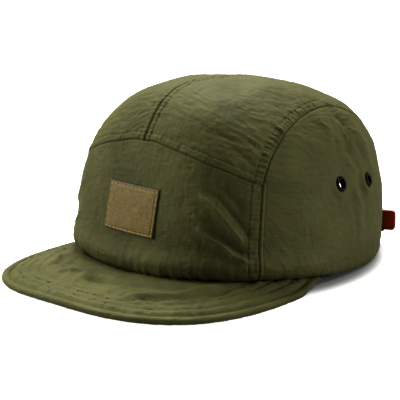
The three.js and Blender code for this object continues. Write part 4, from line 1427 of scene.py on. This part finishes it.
# %% Stitch tree
def stitch_tree():
    tree = bpy.data.node_groups.new("Stitch rows", "GeometryNodeTree")
    face = tree.interface
    face.new_socket("Rows", in_out="INPUT", socket_type="NodeSocketGeometry")
    for name in ("Stitch length", "Gap", "Thread width"):
        face.new_socket(name, in_out="INPUT", socket_type="NodeSocketFloat")
    face.new_socket("Seed", in_out="INPUT", socket_type="NodeSocketInt")
    face.new_socket("Thread", in_out="INPUT", socket_type="NodeSocketMaterial")
    face.new_socket("Stitches", in_out="OUTPUT", socket_type="NodeSocketGeometry")
    given = put(tree, "NodeGroupInput").outputs
    pitch = put(tree, "ShaderNodeMath", {0: given["Stitch length"], 1: given["Gap"]})
    curve = put(tree, "GeometryNodeMeshToCurve", {"Mesh": given["Rows"]})
    spaced = put(tree, "GeometryNodeResampleCurve", {
        "Curve": curve.outputs["Curve"], "Length": pitch.outputs[0],
    }, mode="LENGTH")
    slug = put(tree, "GeometryNodeMeshUVSphere", {"Segments": 6, "Rings": 5, "Radius": 0.5})
    lie = put(tree, "GeometryNodeInputNamedAttribute", {"Name": "lie"}, data_type="FLOAT_VECTOR")
    follow = put(tree, "FunctionNodeAlignRotationToVector", {
        "Vector": put(tree, "GeometryNodeInputTangent").outputs["Tangent"],
    }, axis="X")
    flat = put(tree, "FunctionNodeAlignRotationToVector", {
        "Rotation": follow.outputs["Rotation"], "Vector": lie.outputs["Attribute"],
    }, axis="Z", pivot_axis="X")
    vary = put(tree, "FunctionNodeRandomValue", {2: 0.86, 3: 1.1, "Seed": given["Seed"]})
    long = put(tree, "ShaderNodeMath", {
        0: given["Stitch length"], 1: vary.outputs[1],
    }, operation="MULTIPLY")
    deep = put(tree, "ShaderNodeMath", {0: given["Thread width"], 1: 0.8}, operation="MULTIPLY")
    size = put(tree, "ShaderNodeCombineXYZ", {
        "X": long.outputs[0], "Y": given["Thread width"], "Z": deep.outputs[0],
    })
    laid = put(tree, "GeometryNodeInstanceOnPoints", {
        "Points": spaced.outputs["Curve"], "Instance": slug.outputs["Mesh"],
        "Rotation": flat.outputs["Rotation"], "Scale": size.outputs["Vector"],
    })
    real = put(tree, "GeometryNodeRealizeInstances", {"Geometry": laid.outputs["Instances"]})
    smooth = put(tree, "GeometryNodeSetShadeSmooth", {"Geometry": real.outputs["Geometry"]})
    thread = put(tree, "GeometryNodeSetMaterial", {
        "Geometry": smooth.outputs["Geometry"], "Material": given["Thread"],
    })
    put(tree, "NodeGroupOutput", {"Stitches": thread.outputs["Geometry"]})
    return tree


stitches_along = stitch_tree()
print("tree:", stitches_along.name, len(stitches_along.nodes), "nodes")

# %% Lay a set of rows
def surface_of(*objects):
    points, faces = [], []
    for obj in objects:
        first = len(points)
        points += [v.co for v in obj.data.vertices]
        faces += [[first + k for k in polygon.vertices] for polygon in obj.data.polygons]
    return BVHTree.FromPolygons(points, faces)


def on_surface(tree, line):
    """A line in mm moved onto a surface, and the surface's direction at each point."""
    found = [tree.find_nearest(Vector((point + CAP_SHIFT) * MM)) for point in line]
    points = np.array([hit[0] for hit in found]) / MM - CAP_SHIFT
    return points, np.array([hit[1] for hit in found])


def sew(name, rows, thread, length=2.2, gap=0.9, width=0.42, seed=1):
    """Turns rows of (points, directions) into stitches, as one plain mesh."""
    mesh = bpy.data.meshes.new(name)
    points, links, lies = [], [], []
    for line, lie in rows:
        line = line - 0.3 * width * lie
        first = len(points)
        points += ((line + CAP_SHIFT) * MM).tolist()
        lies += lie.tolist()
        links += [(first + k, first + k + 1) for k in range(len(line) - 1)]
    mesh.from_pydata(points, links, [])
    attribute = mesh.attributes.new("lie", "FLOAT_VECTOR", "POINT")
    attribute.data.foreach_set("vector", np.array(lies, np.float32).ravel())
    obj = bpy.data.objects.new(name, mesh)
    bpy.context.scene.collection.objects.link(obj)
    modifier = obj.modifiers.new("stitches", "NODES")
    modifier.node_group = stitches_along
    values = {
        "Stitch length": length * MM, "Gap": gap * MM, "Thread width": width * MM,
        "Seed": seed, "Thread": thread,
    }
    for item in stitches_along.interface.items_tree:
        if item.in_out == "INPUT" and item.name in values:
            modifier[item.identifier] = values[item.name]
    baked(obj)
    dress(obj, thread, [])
    print(name, len(rows), "rows,", triangles(obj), "triangles")


def beside_seam(seam_name, side_sign, offset, trim=(2, 2)):
    """A line that keeps its distance to a seam, still on the smooth crown."""
    seam = seams[seam_name]
    line, normal = seam["points"], crown_normal(seam["places"])
    tangent = unit(np.gradient(line, axis=0))
    aside = unit(np.cross(normal, tangent)) * side_sign
    keep = (seam["run"] > trim[0]) & (seam["run"] < seam["run"][-1] - trim[1])
    return (line + aside * offset)[keep][::2]


# %% Rows on the crown
crown_surface = surface_of(crown_front, *top_panels.values(), *side_panels.values())
rows = []
for side, mirror in (("left", 1), ("right", -1)):
    for seam_kind, panel_kind, aside, trim in (
        ("front_top", "top", mirror, (3, 6)),
        ("front_side", "front", mirror, (3, 6)),
        ("front_side", "side", -mirror, (3, 3)),
        ("shoulder", "top", mirror, (8, 4)),
        ("centre", "top", mirror, (5, 50)),
    ):
        seam_name = seam_kind if seam_kind == "centre" else f"{seam_kind}_{side}"
        row_offset = SEAM_FINISH[seam_kind, panel_kind]["row"]
        rows.append(beside_seam(seam_name, aside, row_offset, trim))
crown_rows = [on_surface(crown_surface, row) for row in rows]
BEHIND_CAP = 200  # mm, where the rays start that find the hem's row
HEM_ROW_FOOT = 3  # mm above the rest surface
hem_hits = [
    crown_surface.ray_cast(Vector((x, BEHIND_CAP, z)) * MM, Vector((0, -1, 0)))
    for x, z in arch_outline(HEM, 90) if z > HEM_ROW_FOOT
]
hem_line = np.array([hit[0] for hit in hem_hits]) / MM - CAP_SHIFT
crown_rows.append((hem_line, np.array([hit[1] for hit in hem_hits])))
sew("crown_stitches", crown_rows, olive_thread)

# %% Rows on the peak and round the patch
peak_surface_tree = surface_of(peak_cloth)
peak_rows = []
for row in PEAK_ROWS:
    limit = PEAK["end_sweep"] - 16 - 2.2 * (row - PEAK_ROWS[0])
    angles = np.linspace(-limit, limit, 300)
    line = peak_edge(angles) + peak_inward(angles) * row
    line[:, 2] += 3
    peak_rows.append(on_surface(peak_surface_tree, line))
sew("peak_stitches", peak_rows, olive_thread, 2.2, 1.0, 0.42, 2)

binding_tree = surface_of(peak_edge_roll)
angles = np.linspace(-98, 98, 400)
line = peak_edge(angles) + peak_inward(angles) * BINDING["row"]
line[:, 2] += 0.5
sew(
    "binding_stitches", [on_surface(binding_tree, line)], olive_thread, 2.2, 1.0, 0.42, 3
)

patch_tree = surface_of(front_patch)
inset_u = PATCH["row"] / PATCH["width"]
inset_v = PATCH["row"] / float(high_side.max())
corners = [
    (inset_u, inset_v), (1 - inset_u, inset_v), (1 - inset_u, 1 - inset_v), (inset_u, 1 - inset_v),
]
patch_rows = []
for (u0, v0), (u1, v1) in zip(corners, corners[1:] + corners[:1]):
    t = np.linspace(0, 1, 60)
    uu, vv = u0 + (u1 - u0) * t, v0 + (v1 - v0) * t
    place = on_patch(uu, vv)
    patch_rows.append(on_surface(patch_tree, crown_point(place) + crown_normal(place) * 1.5))
sew("patch_stitches", patch_rows, gold_thread, 2.1, 1.1, 0.55, 4)

# %% [markdown]
# ## Floor and light
# The cap stands on a pale sweep that the exposure turns white. Away from the crown the sweep also
# glows to the camera alone, a painted glow that hides the cap's shadow there; near the crown the
# glow fades out, so the real shadow under the rim shows. The photographer lit it with large
# scrims: one high behind it, which makes the top bright, one on the left of the picture, and
# weaker ones low down at both sides and overhead. Nothing comes from the camera, so the side that
# faces us is the darkest. Turns are counted from the camera, rightwards in degrees.

# %% Floor
FLOOR_SIZE = 14  # metres from the middle to each side
# Inside this oval round the crown the painted glow fades out, so the cap's real shadow shows.
SHADOW = {"half_width": 88, "half_length": 97.9, "from": 1.0, "to": 1.17}  # mm, and shares of them


def pale_sweep(name, colour):
    """Matt paper with a painted glow: away from the crown it glows white to the camera alone, which
    hides the cap's shadow there.
    """
    material, tree, shader = new_material(name)
    shader.inputs["Base Color"].default_value = linear(colour)
    shader.inputs["Roughness"].default_value = 0.9
    place = put(tree, "ShaderNodeTexCoord").outputs["Object"]
    wide, long = SHADOW["half_width"] * MM, SHADOW["half_length"] * MM
    oval = put(tree, "ShaderNodeMapping", {
        "Vector": place, "Scale": (1 / wide, 1 / long, 0),
        "Location": (0, -CAP_SHIFT[1] * MM / long, 0),
    }).outputs["Vector"]
    out = put(tree, "ShaderNodeVectorMath", {0: oval}, operation="LENGTH").outputs["Value"]
    painted_glow = put(tree, "ShaderNodeMapRange", {
        "Value": out, "From Min": SHADOW["from"], "From Max": SHADOW["to"],
    }, interpolation_type="SMOOTHSTEP").outputs["Result"]
    # Painted glow: the sweep glows white to camera rays only, outside the oval round the crown.
    seen = put(tree, "ShaderNodeLightPath").outputs["Is Camera Ray"]
    strength = put(tree, "ShaderNodeMath", {0: painted_glow, 1: seen}, operation="MULTIPLY")
    tree.links.new(strength.outputs[0], shader.inputs["Emission Strength"])
    shader.inputs["Emission Color"].default_value = (1, 1, 1, 1)
    return material


floor_mesh = bpy.data.meshes.new("floor")
floor_mesh.from_pydata(
    [(x * FLOOR_SIZE, y * FLOOR_SIZE, 0) for x, y in ((-1, -1), (1, -1), (1, 1), (-1, 1))],
    [], [(0, 1, 2, 3)],
)
floor = bpy.data.objects.new("floor", floor_mesh)
bpy.context.scene.collection.objects.link(floor)
floor.location = (0, 0, -0.0002)
floor_mesh.materials.append(pale_sweep("pale_paper_with_painted_glow", "#B0B0AE"))
floor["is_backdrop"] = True
print("floor:", 2 * FLOOR_SIZE, "m square")

# %% Scrims and sky
SCRIMS = {  # turn from the camera, height above the horizon, strength, width of the lamp's disk
    "back_scrim": (180, 58, 5.0, 30),
    "left_scrim": (-110, 48, 2.6, 30),
    "low_left_scrim": (-92, 14, 2.2, 16),
    "low_right_scrim": (90, 14, 1.8, 18),
    "overhead_scrim": (72, 62, 1.2, 30),
}


def scrim(name, turn, height, strength, width):
    """A large far lamp: a sun whose disk is as wide as a scrim looks from the cap."""
    data = bpy.data.lights.new(name, "SUN")
    data.energy = strength
    data.angle = math.radians(width)
    lamp = bpy.data.objects.new(name, data)
    bpy.context.scene.collection.objects.link(lamp)
    around, up = VIEW_TURN + math.radians(turn), math.radians(height)
    towards = Vector((
        math.sin(around) * math.cos(up), -math.cos(around) * math.cos(up), math.sin(up),
    ))
    lamp.rotation_mode = "QUATERNION"
    lamp.rotation_quaternion = (-towards).to_track_quat("-Z", "Y")
    return lamp


for name, setting in SCRIMS.items():
    scrim(name, *setting)

world = bpy.data.worlds.new("white_room")
bpy.context.scene.world = world
world.use_nodes = True
sky = world.node_tree
for node in list(sky.nodes):
    sky.nodes.remove(node)
dim = put(sky, "ShaderNodeBackground", {"Color": (1, 1, 1, 1), "Strength": 0.04})
white = put(sky, "ShaderNodeBackground", {"Color": (1, 1, 1, 1), "Strength": 1.0})
seen = put(sky, "ShaderNodeLightPath").outputs["Is Camera Ray"]
mixed = put(sky, "ShaderNodeMixShader", {
    0: seen, 1: dim.outputs["Background"], 2: white.outputs["Background"],
})
put(sky, "ShaderNodeOutputWorld", {"Surface": mixed.outputs["Shader"]})
bpy.context.scene.view_settings.view_transform = "Standard"
bpy.context.scene.view_settings.gamma = 0.7  # the contrast of a product photograph
print("lights:", len(SCRIMS), "scrims and a dim white room")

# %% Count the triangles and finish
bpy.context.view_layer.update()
total = sum(triangles(o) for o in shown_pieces() if o.type == "MESH")
print("triangles in all:", total)
